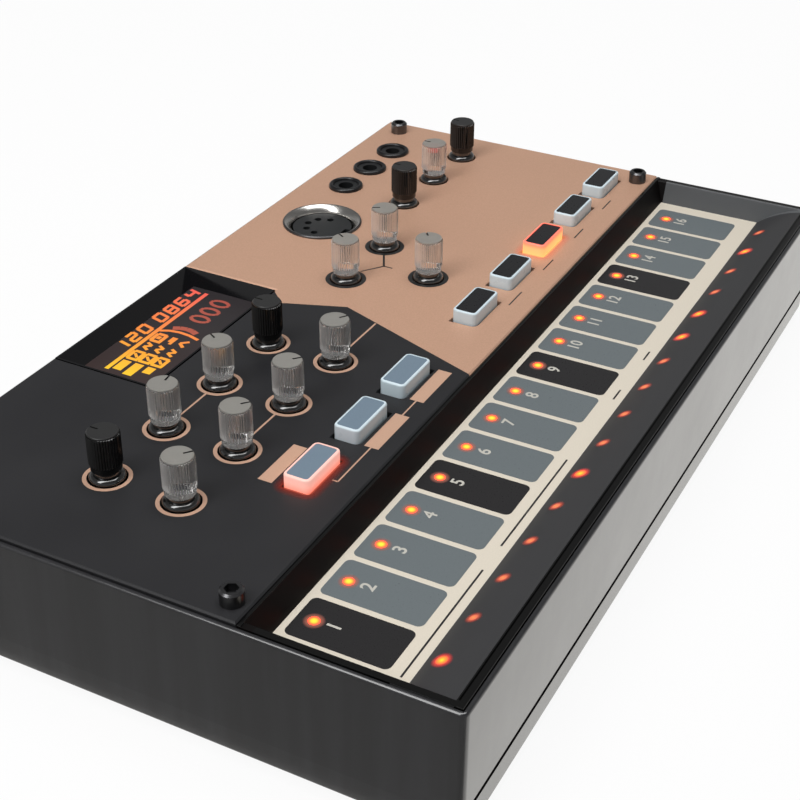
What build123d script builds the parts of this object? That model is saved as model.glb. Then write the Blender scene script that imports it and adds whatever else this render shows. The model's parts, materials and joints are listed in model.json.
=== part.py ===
"""Desktop drum machine: case, control panel, touch strip, display, sockets and battery bay.

Millimetres. The origin is the centre of the base on the surface that the machine stands on,
+Z is up and -Y is the player's side. Places on the machine are measured from the case's
left and front edges, and heights hang from the top of the control panel.
"""

import os

from build123d import *

os.makedirs("parts", exist_ok=True)

# ---------------------------------------------------------------- case
case_length = 193.0
case_depth = 115.0
case_height = 26.8
base_height = 5.9
foot_height = 2.6
wall = 2.2
floor_thickness = 2.4
corner_radius = 1.2
edge_round = 0.6
joint_groove_depth = 0.8
joint_groove_height = 1.0

left = -case_length / 2
right = case_length / 2
front = -case_depth / 2
rear = case_depth / 2
case_bottom = foot_height
floor_top = case_bottom + floor_thickness
joint_z = case_bottom + base_height
panel_top = case_bottom + case_height

# ---------------------------------------------------------------- clearances
seam = 0.2
slip = 0.3
running = 0.05

# ---------------------------------------------------------------- control panel
panel_thickness = 1.6
panel_edge_chamfer = 0.3
rim_drop = 0.7
rim_width = 0.8
strip_depth = 39.5

panel_under = panel_top - panel_thickness
rim_top = panel_top - rim_drop
panel_left = left + rim_width + seam
panel_right = right - rim_width - seam
panel_front = front + strip_depth
panel_rear = rear - rim_width - seam

# ---------------------------------------------------------------- screws
screw_radius = 1.25
screw_pilot = screw_radius + running
panel_screw_inset_left = 5.1
panel_screw_inset_right = 6.5
panel_screw_inset_rear = 6.4
panel_screw_setback = 3.2
panel_screw_length = 10.0
cap_head_radius = 2.05
cap_head_height = 2.7
cap_head_chamfer = 0.35
cap_socket_width = 2.2
cap_socket_depth = 1.4
column_radius = 2.6
column_web = 1.6
boss_radius = 3.6
front_boss_setback = 5.5
front_boss_inset = 26.5
front_boss_drop = 2.1
case_screw_length = 6.0
case_screw_head_radius = 2.4
case_screw_head_height = 1.4
cross_length = 2.4
cross_width = 0.6
counterbore_radius = case_screw_head_radius + slip
counterbore_depth = 2.0

screw_left = left + panel_screw_inset_left
screw_right = right - panel_screw_inset_right
corner_points = [
    (x, y)
    for y in (panel_front + panel_screw_setback, rear - panel_screw_inset_rear)
    for x in (screw_left, screw_right)
]
front_boss_x = case_length / 2 - front_boss_inset
front_boss_points = [(x, front + front_boss_setback) for x in (-front_boss_x, front_boss_x)]
case_screw_points = corner_points + front_boss_points

# ---------------------------------------------------------------- boards
board_drop = 7.0
board_thickness = 1.6
board_side_gap = 10.0
board_front_gap = 2.5
board_rear_gap = 5.5
board_post_radius = 2.6
board_post_inset = 13.5
board_post_setback = 7.5
board_post_rear_inset = 23.0
touch_drop = 5.4
touch_board_thickness = 1.6
touch_board_edge = 0.4
touch_board_front_lap = 2.0
touch_board_rear_lap = 1.0
touch_rib_inset = 12.5
touch_rib_thickness = 1.6
touch_rib_front_gap = 3.3
touch_rib_rear_gap = 2.8

board_top = panel_top - board_drop
board_under = board_top - board_thickness
touch_top = panel_top - touch_drop
touch_under = touch_top - touch_board_thickness
board_post_x = case_length / 2 - board_post_inset
board_posts = [
    (x, y)
    for x in (-board_post_x, board_post_x)
    for y in (panel_front + board_post_setback, rear - board_post_rear_inset)
]
touch_rib_x = case_length / 2 - touch_rib_inset

# ---------------------------------------------------------------- touch strip
touch_opening_side = 4.0
touch_opening_front = 12.7
rear_wall_lean = 2.0
rear_wall_crest = 0.5
rear_wall_drop = 0.3
ledge_drop = 0.5
ledge_width = 1.5
ledge_chamfer = 0.25
bead_width = 1.1
bead_stand = 0.2
bead_round = 0.3
bead_groove_width = 0.4
bead_groove_depth = 0.5
slope_bulge_back = 0.35
slope_bulge_up = 0.65
key_count = 16
key_margin = 3.14
lamp_width = 1.7
lamp_inset = 4.3

inner_left = left + wall
inner_right = right - wall
inner_front = front + wall
inner_rear = rear - wall
opening_left = left + touch_opening_side
opening_right = right - touch_opening_side
opening_front = front + touch_opening_front
surround_rear = panel_front - seam
opening_rear = surround_rear - rear_wall_crest - rear_wall_lean
key_pitch = (opening_right - opening_left - 2 * key_margin) / key_count
lamp_points = [
    ((i - (key_count - 1) / 2) * key_pitch, opening_rear - lamp_inset) for i in range(key_count)
]

# ---------------------------------------------------------------- knobs
knob_height = 9.6
knob_radius = 3.0
knob_band_radius = 2.7
knob_band_height = 1.3
knob_cap_height = 0.4
knob_cap_draft = 20.0
knob_rib_sides = 5
knob_rib_turns = 4
pointer_width = 0.35
pointer_depth = 0.3
pointer_start = 1.0
collar_height = 2.0
collar_radius = 3.3
collar_lip = 0.2
collar_bulge = 0.25
spigot_width = 2.6
spigot_length = 3.0
control_width = 9.0
control_height = 4.4
first_column = 23.2
left_pitch = 17.6
group_gap = 31.5
last_column = 14.5
button_row_setback = 9.8
display_front_inset = 24.0
upper_row_gap = 10.85
right_knob_inset = 13.7
right_knob_rear_inset = 28.0
right_knob_squeeze = 2.0

knob_seat = panel_top + collar_height
knob_hole_radius = collar_radius + slip
column_x = [left + first_column + left_pitch * i for i in range(4)]
right_pitch = (right - last_column - column_x[-1] - group_gap) / 4
right_x = [right - last_column - right_pitch * (4 - i) for i in range(5)]
button_y = panel_front + button_row_setback
display_front = rear - display_front_inset
row_pitch = (display_front - upper_row_gap - button_y) / 2
lower_row = button_y + row_pitch
upper_row = button_y + 2 * row_pitch
rear_row = rear - right_knob_rear_inset
rear_x = [right - right_knob_inset - (right_pitch - right_knob_squeeze) * (2 - i) for i in range(3)]

# name: (x, y, angle of the pointer from +X, in degrees)
knobs = {
    "knob_pitch": (column_x[0], lower_row, -38),
    "knob_attack": (column_x[1], lower_row, -40),
    "knob_release": (column_x[2], lower_row, -42),
    "knob_send": (column_x[3], lower_row, -33),
    "knob_part": (column_x[0], upper_row, 90),
    "knob_amount": (column_x[1], upper_row, 8),
    "knob_rate": (column_x[2], upper_row, 60),
    "knob_select": (column_x[3], upper_row, 90),
    "knob_decay": (right_x[0], upper_row, 60),
    "knob_body": (right_x[1], upper_row, 120),
    "knob_tune": ((right_x[0] + right_x[1]) / 2, lower_row, 40),
    "knob_tempo": (rear_x[0], rear_row, 90),
    "knob_swing": (rear_x[1], rear_row, 90),
    "knob_volume": (rear_x[2], rear_row, 90),
}
knob_points = [(x, y) for x, y, _ in knobs.values()]

# ---------------------------------------------------------------- push buttons
button_length = 11.7
button_depth = 5.4
button_height = 2.7
button_corner = 1.1
button_top_chamfer = 0.35
button_travel = 0.6
button_flange_side = 0.5
button_flange_front = 1.0
button_flange_thickness = 0.7
button_stem_width = 3.0
inlay_length = 9.3
inlay_width = 4.1
inlay_sink = 0.1
notch_length = 1.5
notch_width = 1.1
notch_reach = 0.15
switch_width = 6.0
switch_height = 3.6
switch_well_depth = 2.6

button_names = ["edit", "step", "layer", "jump", "mute", "repeat", "play", "record"]
button_points = [(x, button_y) for x in column_x[1:] + right_x]

# ---------------------------------------------------------------- display
display_inset = 51.3
display_width = 44.7
display_depth = 3.5
display_lip = 0.8
display_top_drop = 0.1
display_rear_slope = 3.1
display_right_slope = 1.6
window_thickness = 1.2
window_overlap = 0.7

display_left = left + display_inset
display_right = display_left + display_width
display_rear = panel_rear
window_top = panel_top - display_depth
window_under = window_top - window_thickness

# ---------------------------------------------------------------- jack sockets
jack_inset = 19.2
jack_pitch = 12.1
jack_rear_inset = 11.2
jack_bore_radius = 1.8
jack_bore_length = 13.0
jack_bush_radius = 3.0
jack_bush_stand = 0.3
jack_body_width = 8.0
jack_body_depth = 9.6
jack_body_base = 0.8
jack_ring_radius = 4.1
jack_ring_height = 0.9
jack_ring_chamfer = 0.4

jack_x = [right - jack_inset - jack_pitch * (2 - i) for i in range(3)]
jack_y = rear - jack_rear_inset
jack_points = [(x, jack_y) for x in jack_x]

# ---------------------------------------------------------------- five-pin socket
din_rear_inset = 16.2
din_place = 0.625
din_shell_radius = 8.2
din_shell_wall = 0.45
din_flange_radius = 8.8
din_flange_height = 0.5
din_mouth_radius = 8.3
din_mouth_depth = 1.0
din_insert_radius = 6.8
din_insert_drop = 1.0
din_insert_base = 1.2
din_depth = 8.5
din_pin_circle = 3.75
din_pin_hole_radius = 0.8
din_pin_hole_depth = 6.0
din_key_width = 2.4
din_key_depth = 1.4
din_pin_spread = 180.0

din_x = display_right + din_place * (jack_x[0] - display_right)
din_y = rear - din_rear_inset

# ---------------------------------------------------------------- power parts in the rear wall
inlet_inset = 15.5
inlet_width = 9.0
inlet_height = 9.6
inlet_length = 13.0
inlet_nose_radius = 4.0
inlet_bore_radius = 3.1
inlet_bore_depth = 10.0
inlet_pin_radius = 1.0
inlet_face_sink = 0.4
power_inset = 27.0
power_switch_width = 7.2
power_switch_length = 9.0
power_switch_gap = 2.0
power_cap_radius = 3.4
power_cap_sink = 0.3
power_cap_chamfer = 0.3
power_dish_radius = 5.4
power_dish_depth = 1.0
power_dish_draft = 20.0
power_travel = 1.2
power_stem_width = 3.0
power_stem_length = 4.0

inlet_x = left + inlet_inset
power_x = left + power_inset
inlet_z = board_under - inlet_height / 2
power_z = board_under - power_switch_width / 2

# ---------------------------------------------------------------- battery bay
bay_side_gap = 3.5
bay_rear_inset = 7.0
bay_depth = 46.0
bay_wall = 1.2
bay_ceiling = 0.8
bay_board_gap = 0.6
cell_rows = 3
lid_thickness = 2.0
lid_side = 2.0
lid_front_lap = 2.0
lid_gap = 0.25
tongue_width = 1.2
tongue_height = 0.8
tongue_rise = 0.7
tongue_gap = 0.1
lid_frame = 1.6
grip_grooves = 5
grip_inset = 12.0
grip_pitch = 2.0
grip_length = 22.0
grip_width = 0.9
grip_depth = 0.5
contact_width = 11.0
contact_thickness = 0.4
leaf_width = 5.0
leaf_rise = 3.6
leaf_reach = 4.6
leaf_thickness = 0.4
contact_button_radius = 2.4
contact_button_height = 1.0

lid_top = case_bottom + lid_thickness
bay_left = power_x + power_switch_width / 2 + bay_side_gap
bay_right = jack_x[0] - jack_body_width / 2 - bay_side_gap
bay_rear = rear - bay_rear_inset
bay_front = bay_rear - bay_depth
bay_ceiling_under = board_under - bay_board_gap - bay_ceiling
bay_centre_x = (bay_left + bay_right) / 2
lid_left = bay_left - lid_side
lid_right = bay_right + lid_side
lid_front = bay_front - lid_front_lap

# ---------------------------------------------------------------- speaker and feet
speaker_inset_x = 43.0
speaker_inset_y = 30.0
speaker_radius = 14.0
speaker_flange = 1.2
speaker_cone_height = 3.4
speaker_magnet_radius = 8.0
speaker_magnet_height = 4.0
speaker_ring_wall = 1.4
speaker_ring_height = 2.6
grille_slots = 5
grille_slot_length = 16.0
grille_slot_width = 1.5
grille_slot_pitch = 3.6
foot_radius = 4.6
foot_chamfer = 0.5
foot_inset_x = 16.0
foot_inset_y = 12.0
foot_recess = 0.6

speaker_x = right - speaker_inset_x
speaker_y = front + speaker_inset_y
foot_x = case_length / 2 - foot_inset_x
foot_y = case_depth / 2 - foot_inset_y
foot_points = [(x, y) for x in (-foot_x, foot_x) for y in (-foot_y, foot_y)]

pieces = {}


def box_between(x0, x1, y0, y1, z0, z1, mode=Mode.ADD):
    """Add or cut a block given by its two corners in the part being built."""
    with Locations(((x0 + x1) / 2, (y0 + y1) / 2, (z0 + z1) / 2)):
        Box(x1 - x0, y1 - y0, z1 - z0, mode=mode)


def upright_plane(x, y):
    """Plane through a vertical axis at (x, y): local x runs along +X, local y along +Z."""
    return Plane(origin=(x, y, 0), x_dir=(1, 0, 0), z_dir=(0, -1, 0))


def vertical_axis(x, y):
    return Axis((x, y, 0), (0, 0, 1))


# ================================================================ case
with BuildPart() as top_case:
    with BuildSketch(Plane.XY.offset(joint_z)):
        RectangleRounded(case_length, case_depth, corner_radius)
    extrude(amount=rim_top - joint_z)
    fillet(top_case.faces().sort_by(Axis.Z)[-1].outer_wire().edges(), edge_round)
    box_between(inner_left, inner_right, inner_front, inner_rear, joint_z, rim_top, Mode.SUBTRACT)
    # rebate that the panel and the touch surround drop into
    box_between(
        left + rim_width, right - rim_width, front + rim_width, rear - rim_width,
        panel_under, rim_top, Mode.SUBTRACT,
    )
    # pocket in the rear wall for the display surround
    box_between(
        display_left - seam, display_right + seam, display_front, display_rear + seam,
        window_top - seam, rim_top, Mode.SUBTRACT,
    )
    # columns under the panel screws, each on a web from the side wall
    with BuildSketch(Plane.XY.offset(joint_z)):
        with Locations(*corner_points):
            Circle(column_radius)
        for x, y in corner_points:
            side = left if x < 0 else right
            with Locations(((x + side) / 2, y)):
                Rectangle(abs(side - x), column_web)
        Rectangle(case_length - wall, case_depth - wall, mode=Mode.INTERSECT)
    extrude(amount=panel_under - joint_z)
    # bosses on the front wall that the front case screws bite into
    with BuildSketch(Plane.XY.offset(joint_z)):
        with Locations(*front_boss_points):
            Circle(boss_radius)
        Rectangle(case_length - wall, case_depth - wall, mode=Mode.INTERSECT)
    extrude(amount=touch_under - front_boss_drop - joint_z)
    with Locations(*[(x, y, panel_under - panel_screw_length / 2) for x, y in corner_points]):
        Cylinder(screw_pilot, panel_screw_length, mode=Mode.SUBTRACT)
    with Locations(*[(x, y, joint_z + case_screw_length / 2) for x, y in case_screw_points]):
        Cylinder(screw_pilot, case_screw_length, mode=Mode.SUBTRACT)
    # rear wall: power inlet hole, and the dished seat of the power button
    with BuildSketch(Plane.XZ.offset(-rear)):
        with Locations((inlet_x, inlet_z)):
            Circle(inlet_nose_radius + seam)
        with Locations((power_x, power_z)):
            Circle(power_cap_radius + slip)
    extrude(amount=wall, mode=Mode.SUBTRACT)
    with BuildSketch(Plane.XZ.offset(-rear)):
        with Locations((power_x, power_z)):
            Circle(power_dish_radius)
    extrude(amount=power_dish_depth, taper=power_dish_draft, mode=Mode.SUBTRACT)
pieces["top_case"] = top_case

with BuildPart() as bottom_case:
    with BuildSketch(Plane.XY.offset(case_bottom)):
        RectangleRounded(case_length, case_depth, corner_radius)
    extrude(amount=base_height)
    fillet(bottom_case.faces().sort_by(Axis.Z)[0].outer_wire().edges(), edge_round)
    box_between(inner_left, inner_right, inner_front, inner_rear, floor_top, joint_z, Mode.SUBTRACT)
    # shadow groove along the joint with the upper case
    with BuildSketch(Plane.XY.offset(joint_z - joint_groove_height)):
        Rectangle(case_length, case_depth)
        Rectangle(
            case_length - 2 * joint_groove_depth, case_depth - 2 * joint_groove_depth,
            mode=Mode.SUBTRACT,
        )
    extrude(amount=joint_groove_height, mode=Mode.SUBTRACT)
    # screw bosses, the posts that carry the main board and the ribs that carry the touch board
    with BuildSketch(Plane.XY.offset(case_bottom)):
        with Locations(*case_screw_points):
            Circle(boss_radius)
        Rectangle(case_length - wall, case_depth - wall, mode=Mode.INTERSECT)
    extrude(amount=base_height)
    with BuildSketch(Plane.XY.offset(floor_top)):
        with Locations(*board_posts):
            Circle(board_post_radius)
    extrude(amount=board_under - floor_top)
    for x in (-touch_rib_x, 0, touch_rib_x):
        box_between(
            x - touch_rib_thickness / 2, x + touch_rib_thickness / 2,
            opening_front + touch_rib_front_gap, opening_rear - touch_rib_rear_gap,
            floor_top, touch_under,
        )
    # battery tray: outer block, then the bay, the lid's rebate and the grooves for its tongues
    box_between(
        bay_left - bay_wall, bay_right + bay_wall, bay_front - bay_wall, bay_rear + bay_wall,
        case_bottom, bay_ceiling_under + bay_ceiling,
    )
    frame_side = tongue_width + lid_gap + bay_wall
    box_between(
        lid_left - frame_side, lid_right + frame_side, lid_front - bay_wall, inner_rear + wall / 2,
        case_bottom, lid_top + lid_frame,
    )
    box_between(bay_left, bay_right, bay_front, bay_rear, case_bottom, bay_ceiling_under, Mode.SUBTRACT)
    box_between(
        lid_left - lid_gap, lid_right + lid_gap, lid_front - lid_gap, rear,
        case_bottom, lid_top + tongue_gap, Mode.SUBTRACT,
    )
    box_between(
        lid_left - tongue_width - lid_gap, lid_right + tongue_width + lid_gap,
        lid_front - lid_gap, rear,
        case_bottom + tongue_rise - tongue_gap,
        case_bottom + tongue_rise + tongue_height + tongue_gap, Mode.SUBTRACT,
    )
    # speaker ring and the slots under it
    with BuildSketch(Plane.XY.offset(floor_top)):
        with Locations((speaker_x, speaker_y)):
            Circle(speaker_radius + slip + speaker_ring_wall)
            Circle(speaker_radius + slip, mode=Mode.SUBTRACT)
    extrude(amount=speaker_ring_height)
    with BuildSketch(Plane.XY.offset(case_bottom)):
        with Locations((speaker_x, speaker_y)):
            with GridLocations(grille_slot_pitch, 0, grille_slots, 1):
                Rectangle(grille_slot_width, grille_slot_length)
    extrude(amount=floor_thickness, mode=Mode.SUBTRACT)
    # counterbores, screw holes and foot recesses, all from below
    with BuildSketch(Plane.XY.offset(case_bottom)):
        with Locations(*case_screw_points):
            Circle(counterbore_radius)
    extrude(amount=counterbore_depth, mode=Mode.SUBTRACT)
    with BuildSketch(Plane.XY.offset(case_bottom)):
        with Locations(*case_screw_points):
            Circle(screw_radius + slip)
    extrude(amount=base_height, mode=Mode.SUBTRACT)
    with BuildSketch(Plane.XY.offset(case_bottom)):
        with Locations(*foot_points):
            Circle(foot_radius + seam / 2)
    extrude(amount=foot_recess, mode=Mode.SUBTRACT)
pieces["bottom_case"] = bottom_case

with BuildPart() as rubber_feet:
    with BuildSketch():
        with Locations(*foot_points):
            Circle(foot_radius)
    extrude(amount=foot_height + foot_recess)
    chamfer(rubber_feet.faces().group_by(Axis.Z)[0].edges(), foot_chamfer)
pieces["rubber_feet"] = rubber_feet

# ================================================================ control panel
with BuildPart() as faceplate:
    with BuildSketch(Plane.XY.offset(panel_under)):
        with Locations(((panel_left + panel_right) / 2, (panel_front + panel_rear) / 2)):
            Rectangle(panel_right - panel_left, panel_rear - panel_front)
        with Locations(((display_left + display_right) / 2, (display_front + rear) / 2)):
            Rectangle(
                display_right - display_left + 2 * seam, rear - display_front + 2 * seam,
                mode=Mode.SUBTRACT,
            )
    extrude(amount=panel_thickness)
    chamfer(faceplate.faces().sort_by(Axis.Z)[-1].outer_wire().edges(), panel_edge_chamfer)
    with BuildSketch(Plane.XY.offset(panel_under)):
        with Locations(*knob_points):
            Circle(knob_hole_radius)
        with Locations(*button_points):
            RectangleRounded(button_length + 2 * slip, button_depth + 2 * slip, button_corner + slip)
        # square notches at the front right and the rear left corner of each button's opening
        notch_x = button_length / 2 + slip + notch_reach - notch_length / 2
        notch_y = button_depth / 2 + slip + notch_reach - notch_width / 2
        for turn in (-1, 1):
            with Locations(*[(x + turn * notch_x, y - turn * notch_y) for x, y in button_points]):
                Rectangle(notch_length, notch_width)
        with Locations(*corner_points):
            Circle(screw_radius + slip)
        with Locations((din_x, din_y)):
            Circle(din_shell_radius + seam)
        with Locations(*jack_points):
            Circle(jack_bush_radius + seam)
    extrude(amount=panel_thickness, mode=Mode.SUBTRACT)
pieces["faceplate"] = faceplate

with BuildPart() as faceplate_screws:
    with BuildSketch(Plane.XY.offset(panel_top)):
        with Locations(*corner_points):
            Circle(cap_head_radius)
    extrude(amount=cap_head_height)
    chamfer(faceplate_screws.faces().group_by(Axis.Z)[-1].edges(), cap_head_chamfer)
    with BuildSketch(Plane.XY.offset(panel_top + cap_head_height)):
        with Locations(*corner_points):
            RegularPolygon(cap_socket_width / 2, 6, major_radius=False)
    extrude(amount=-cap_socket_depth, mode=Mode.SUBTRACT)
    with BuildSketch(Plane.XY.offset(panel_top)):
        with Locations(*corner_points):
            Circle(screw_radius)
    extrude(amount=-(panel_thickness + panel_screw_length - slip))
pieces["faceplate_screws"] = faceplate_screws

with BuildPart() as case_screws:
    with BuildSketch(Plane.XY.offset(case_bottom + counterbore_depth)):
        with Locations(*case_screw_points):
            Circle(case_screw_head_radius)
    extrude(amount=-case_screw_head_height)
    with BuildSketch(Plane.XY.offset(case_bottom + counterbore_depth)):
        with Locations(*case_screw_points):
            Circle(screw_radius)
    extrude(amount=base_height - counterbore_depth + case_screw_length - slip)
    with BuildSketch(Plane.XY.offset(case_bottom + counterbore_depth - case_screw_head_height)):
        with Locations(*case_screw_points):
            Rectangle(cross_length, cross_width)
            Rectangle(cross_width, cross_length)
    extrude(amount=case_screw_head_height / 2, mode=Mode.SUBTRACT)
pieces["case_screws"] = case_screws

# ================================================================ touch strip
with BuildPart() as touch_board:
    with BuildSketch(Plane.XY.offset(touch_under)):
        strip_front = opening_front - touch_board_front_lap
        strip_rear = opening_rear + touch_board_rear_lap
        with Locations((0, (strip_front + strip_rear) / 2)):
            Rectangle(inner_right - inner_left - 2 * touch_board_edge, strip_rear - strip_front)
        with Locations(*lamp_points):
            Rectangle(lamp_width + 2 * running, lamp_width + 2 * running, mode=Mode.SUBTRACT)
    extrude(amount=touch_board_thickness)
pieces["touch_board"] = touch_board

with BuildPart() as touch_lamps:
    with BuildSketch(Plane.XY.offset(touch_under)):
        with Locations(*lamp_points):
            Rectangle(lamp_width, lamp_width)
    extrude(amount=touch_board_thickness)
pieces["touch_lamps"] = touch_lamps

ledge_top = panel_top - ledge_drop
surround_left = left + rim_width + seam
surround_right = right - rim_width - seam
surround_front = front + rim_width + seam
open_top = panel_top + wall
slope_top = (surround_front + bead_width + bead_groove_width, ledge_top)
slope_foot = (opening_front, touch_top)
slope_mid = (
    (slope_top[0] + slope_foot[0]) / 2 + slope_bulge_back,
    (slope_top[1] + slope_foot[1]) / 2 + slope_bulge_up,
)

# the space over the keys: its section from the side, trimmed by its section from the front
with BuildPart() as trough:
    with BuildSketch(Plane.YZ.offset(left)):
        with BuildLine():
            Polyline(
                slope_foot,
                (opening_rear, touch_top),
                (surround_rear - rear_wall_crest, panel_top - rear_wall_drop),
                (surround_rear - rear_wall_crest, open_top),
                (slope_top[0], open_top),
                slope_top,
            )
            ThreePointArc(slope_top, slope_mid, slope_foot)
        make_face()
    extrude(amount=case_length)
    with BuildSketch(Plane.XZ.offset(-rear)):
        with BuildLine():
            Polyline(
                (opening_left, touch_top),
                (surround_left + ledge_width, ledge_top - ledge_chamfer),
                (surround_left + ledge_width - ledge_chamfer, ledge_top),
                (surround_left + ledge_width - ledge_chamfer, open_top),
                (surround_right - ledge_width + ledge_chamfer, open_top),
                (surround_right - ledge_width + ledge_chamfer, ledge_top),
                (surround_right - ledge_width, ledge_top - ledge_chamfer),
                (opening_right, touch_top),
                close=True,
            )
        make_face()
    extrude(amount=case_depth, mode=Mode.INTERSECT)

with BuildPart() as touch_surround:
    # flange in the case's rebate, and the deeper frame that stands on the touch board
    box_between(surround_left, surround_right, surround_front, surround_rear, panel_under, ledge_top)
    box_between(
        inner_left + seam, inner_right - seam, inner_front + seam, surround_rear,
        touch_top, panel_under,
    )
    # crest in front of the panel's edge, and the rounded bead along the player's side
    box_between(
        surround_left, surround_right, surround_rear - rear_wall_crest - seam, surround_rear,
        ledge_top, panel_top - rear_wall_drop,
    )
    box_between(
        surround_left, surround_right, surround_front, surround_front + bead_width,
        ledge_top, ledge_top + bead_stand,
    )
    bead_edge = touch_surround.edges().filter_by(Axis.X).group_by(Axis.Z)[-1].sort_by(Axis.Y)[0]
    fillet(bead_edge, bead_round)
    add(trough.part, mode=Mode.SUBTRACT)
    box_between(
        surround_left + ledge_width, surround_right - ledge_width,
        surround_front + bead_width, slope_top[0],
        ledge_top - bead_groove_depth, ledge_top, Mode.SUBTRACT,
    )
pieces["touch_surround"] = touch_surround

# ================================================================ boards
with BuildPart() as main_board:
    with BuildSketch(Plane.XY.offset(board_under)):
        main_left = left + board_side_gap
        main_right = right - board_side_gap
        main_front = panel_front + board_front_gap
        main_rear = rear - board_rear_gap
        with Locations(((main_left + main_right) / 2, (main_front + main_rear) / 2)):
            Rectangle(main_right - main_left, main_rear - main_front)
        with Locations((din_x, din_y)):
            Circle(din_shell_radius + slip, mode=Mode.SUBTRACT)
        # cut-out round the three jack bodies, open to the rear
        room_left = jack_x[0] - jack_body_width / 2 - seam
        room_right = jack_x[-1] + jack_body_width / 2 + seam
        room_front = jack_y - jack_body_depth / 2 - seam
        with Locations(((room_left + room_right) / 2, (room_front + rear) / 2)):
            Rectangle(room_right - room_left, rear - room_front, mode=Mode.SUBTRACT)
    extrude(amount=board_thickness)
pieces["main_board"] = main_board

with BuildPart() as control_bodies:
    with BuildSketch(Plane.XY.offset(board_top)):
        with Locations(*knob_points):
            Rectangle(control_width, control_width)
    extrude(amount=control_height)
pieces["control_bodies"] = control_bodies

with BuildPart() as switch_bodies:
    with BuildSketch(Plane.XY.offset(board_top)):
        with Locations(*button_points):
            Rectangle(switch_width, switch_width)
    extrude(amount=switch_height)
    with BuildSketch(Plane.XY.offset(board_top + switch_height - switch_well_depth)):
        with Locations(*button_points):
            Rectangle(button_stem_width + 2 * slip, button_stem_width + 2 * slip)
    extrude(amount=switch_well_depth, mode=Mode.SUBTRACT)
    # the power switch hangs under the board, behind the rear wall
    switch_face = inner_rear - power_switch_gap
    box_between(
        power_x - power_switch_width / 2, power_x + power_switch_width / 2,
        switch_face - power_switch_length, switch_face,
        board_under - power_switch_width, board_under,
    )
    with BuildSketch(Plane.XZ.offset(-switch_face)):
        with Locations((power_x, power_z)):
            Rectangle(power_stem_width + 2 * running, power_stem_width + 2 * running)
    extrude(amount=power_stem_length + power_travel + slip, mode=Mode.SUBTRACT)
pieces["switch_bodies"] = switch_bodies


# ================================================================ knobs
def build_knob(x, y, pointer):
    """One fluted knob with a smooth foot, a flat top and a spigot that plugs into its collar."""
    with BuildPart() as knob:
        with BuildSketch(Plane.XY.offset(knob_seat)):
            with Locations((x, y)):
                Circle(knob_band_radius)
        extrude(amount=knob_band_height)
        # polygons turned in even steps leave a ring of sharp ribs
        with BuildSketch(Plane.XY.offset(knob_seat + knob_band_height)):
            with Locations((x, y)):
                for step in range(knob_rib_turns):
                    turn = step * 360 / (knob_rib_sides * knob_rib_turns)
                    RegularPolygon(knob_radius, knob_rib_sides, rotation=turn)
        extrude(amount=knob_height - collar_height - knob_band_height - knob_cap_height)
        with BuildSketch(Plane.XY.offset(panel_top + knob_height - knob_cap_height)):
            with Locations((x, y)):
                Circle(knob_band_radius)
        extrude(amount=knob_cap_height, taper=knob_cap_draft)
        with BuildSketch(Plane.XY.offset(knob_seat)):
            with Locations((x, y)):
                Rectangle(spigot_width, spigot_width)
        extrude(amount=-spigot_length)
        with BuildSketch(Plane.XY.offset(panel_top + knob_height - pointer_depth)):
            with Locations(Location((x, y), pointer)):
                with Locations(((pointer_start + knob_radius) / 2, 0)):
                    Rectangle(knob_radius - pointer_start, pointer_width)
        extrude(amount=pointer_depth, mode=Mode.SUBTRACT)
    return knob


def build_collar(x, y):
    """Black domed collar in the panel hole, over its rotary control, bored for the knob's spigot."""
    foot = board_top + control_height + running
    lip = panel_top + collar_lip
    shoulder = (knob_band_radius, knob_seat)
    waist = (
        (collar_radius + knob_band_radius) / 2 + collar_bulge,
        (lip + knob_seat) / 2 + collar_bulge / 2,
    )
    with BuildPart() as collar:
        with BuildSketch(upright_plane(x, y)):
            with BuildLine():
                Polyline(shoulder, (0, knob_seat), (0, foot), (collar_radius, foot), (collar_radius, lip))
                ThreePointArc((collar_radius, lip), waist, shoulder)
            make_face()
        revolve(axis=vertical_axis(x, y))
        with BuildSketch(Plane.XY.offset(knob_seat)):
            with Locations((x, y)):
                Rectangle(spigot_width + 2 * running, spigot_width + 2 * running)
        extrude(amount=-spigot_length, mode=Mode.SUBTRACT)
    return collar


for knob_name, (knob_x, knob_y, knob_pointer) in knobs.items():
    pieces[knob_name] = build_knob(knob_x, knob_y, knob_pointer)
    pieces[knob_name.replace("knob", "collar")] = build_collar(knob_x, knob_y)


# ================================================================ push buttons
def build_button(x, y):
    """Rounded button with a shallow inlay seat, a flange under the panel and a switch stem."""
    with BuildPart() as button:
        flange_top = panel_under - seam
        with BuildSketch(Plane.XY.offset(flange_top)):
            with Locations((x, y)):
                RectangleRounded(button_length, button_depth, button_corner)
        extrude(amount=panel_top + button_height - flange_top)
        chamfer(button.faces().sort_by(Axis.Z)[-1].outer_wire().edges(), button_top_chamfer)
        with BuildSketch(Plane.XY.offset(panel_top + button_height)):
            with Locations((x, y)):
                Rectangle(inlay_length, inlay_width)
        extrude(amount=-inlay_sink, mode=Mode.SUBTRACT)
        with BuildSketch(Plane.XY.offset(flange_top)):
            with Locations((x, y)):
                Rectangle(
                    button_length + 2 * button_flange_side, button_depth + 2 * button_flange_front
                )
        extrude(amount=-button_flange_thickness)
        stem_foot = board_top + switch_height - switch_well_depth + button_travel + slip
        with BuildSketch(Plane.XY.offset(flange_top)):
            with Locations((x, y)):
                Rectangle(button_stem_width, button_stem_width)
        extrude(amount=-(flange_top - stem_foot))
    return button


for button_name, button_point in zip(button_names, button_points):
    pieces["button_" + button_name] = build_button(*button_point)

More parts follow.
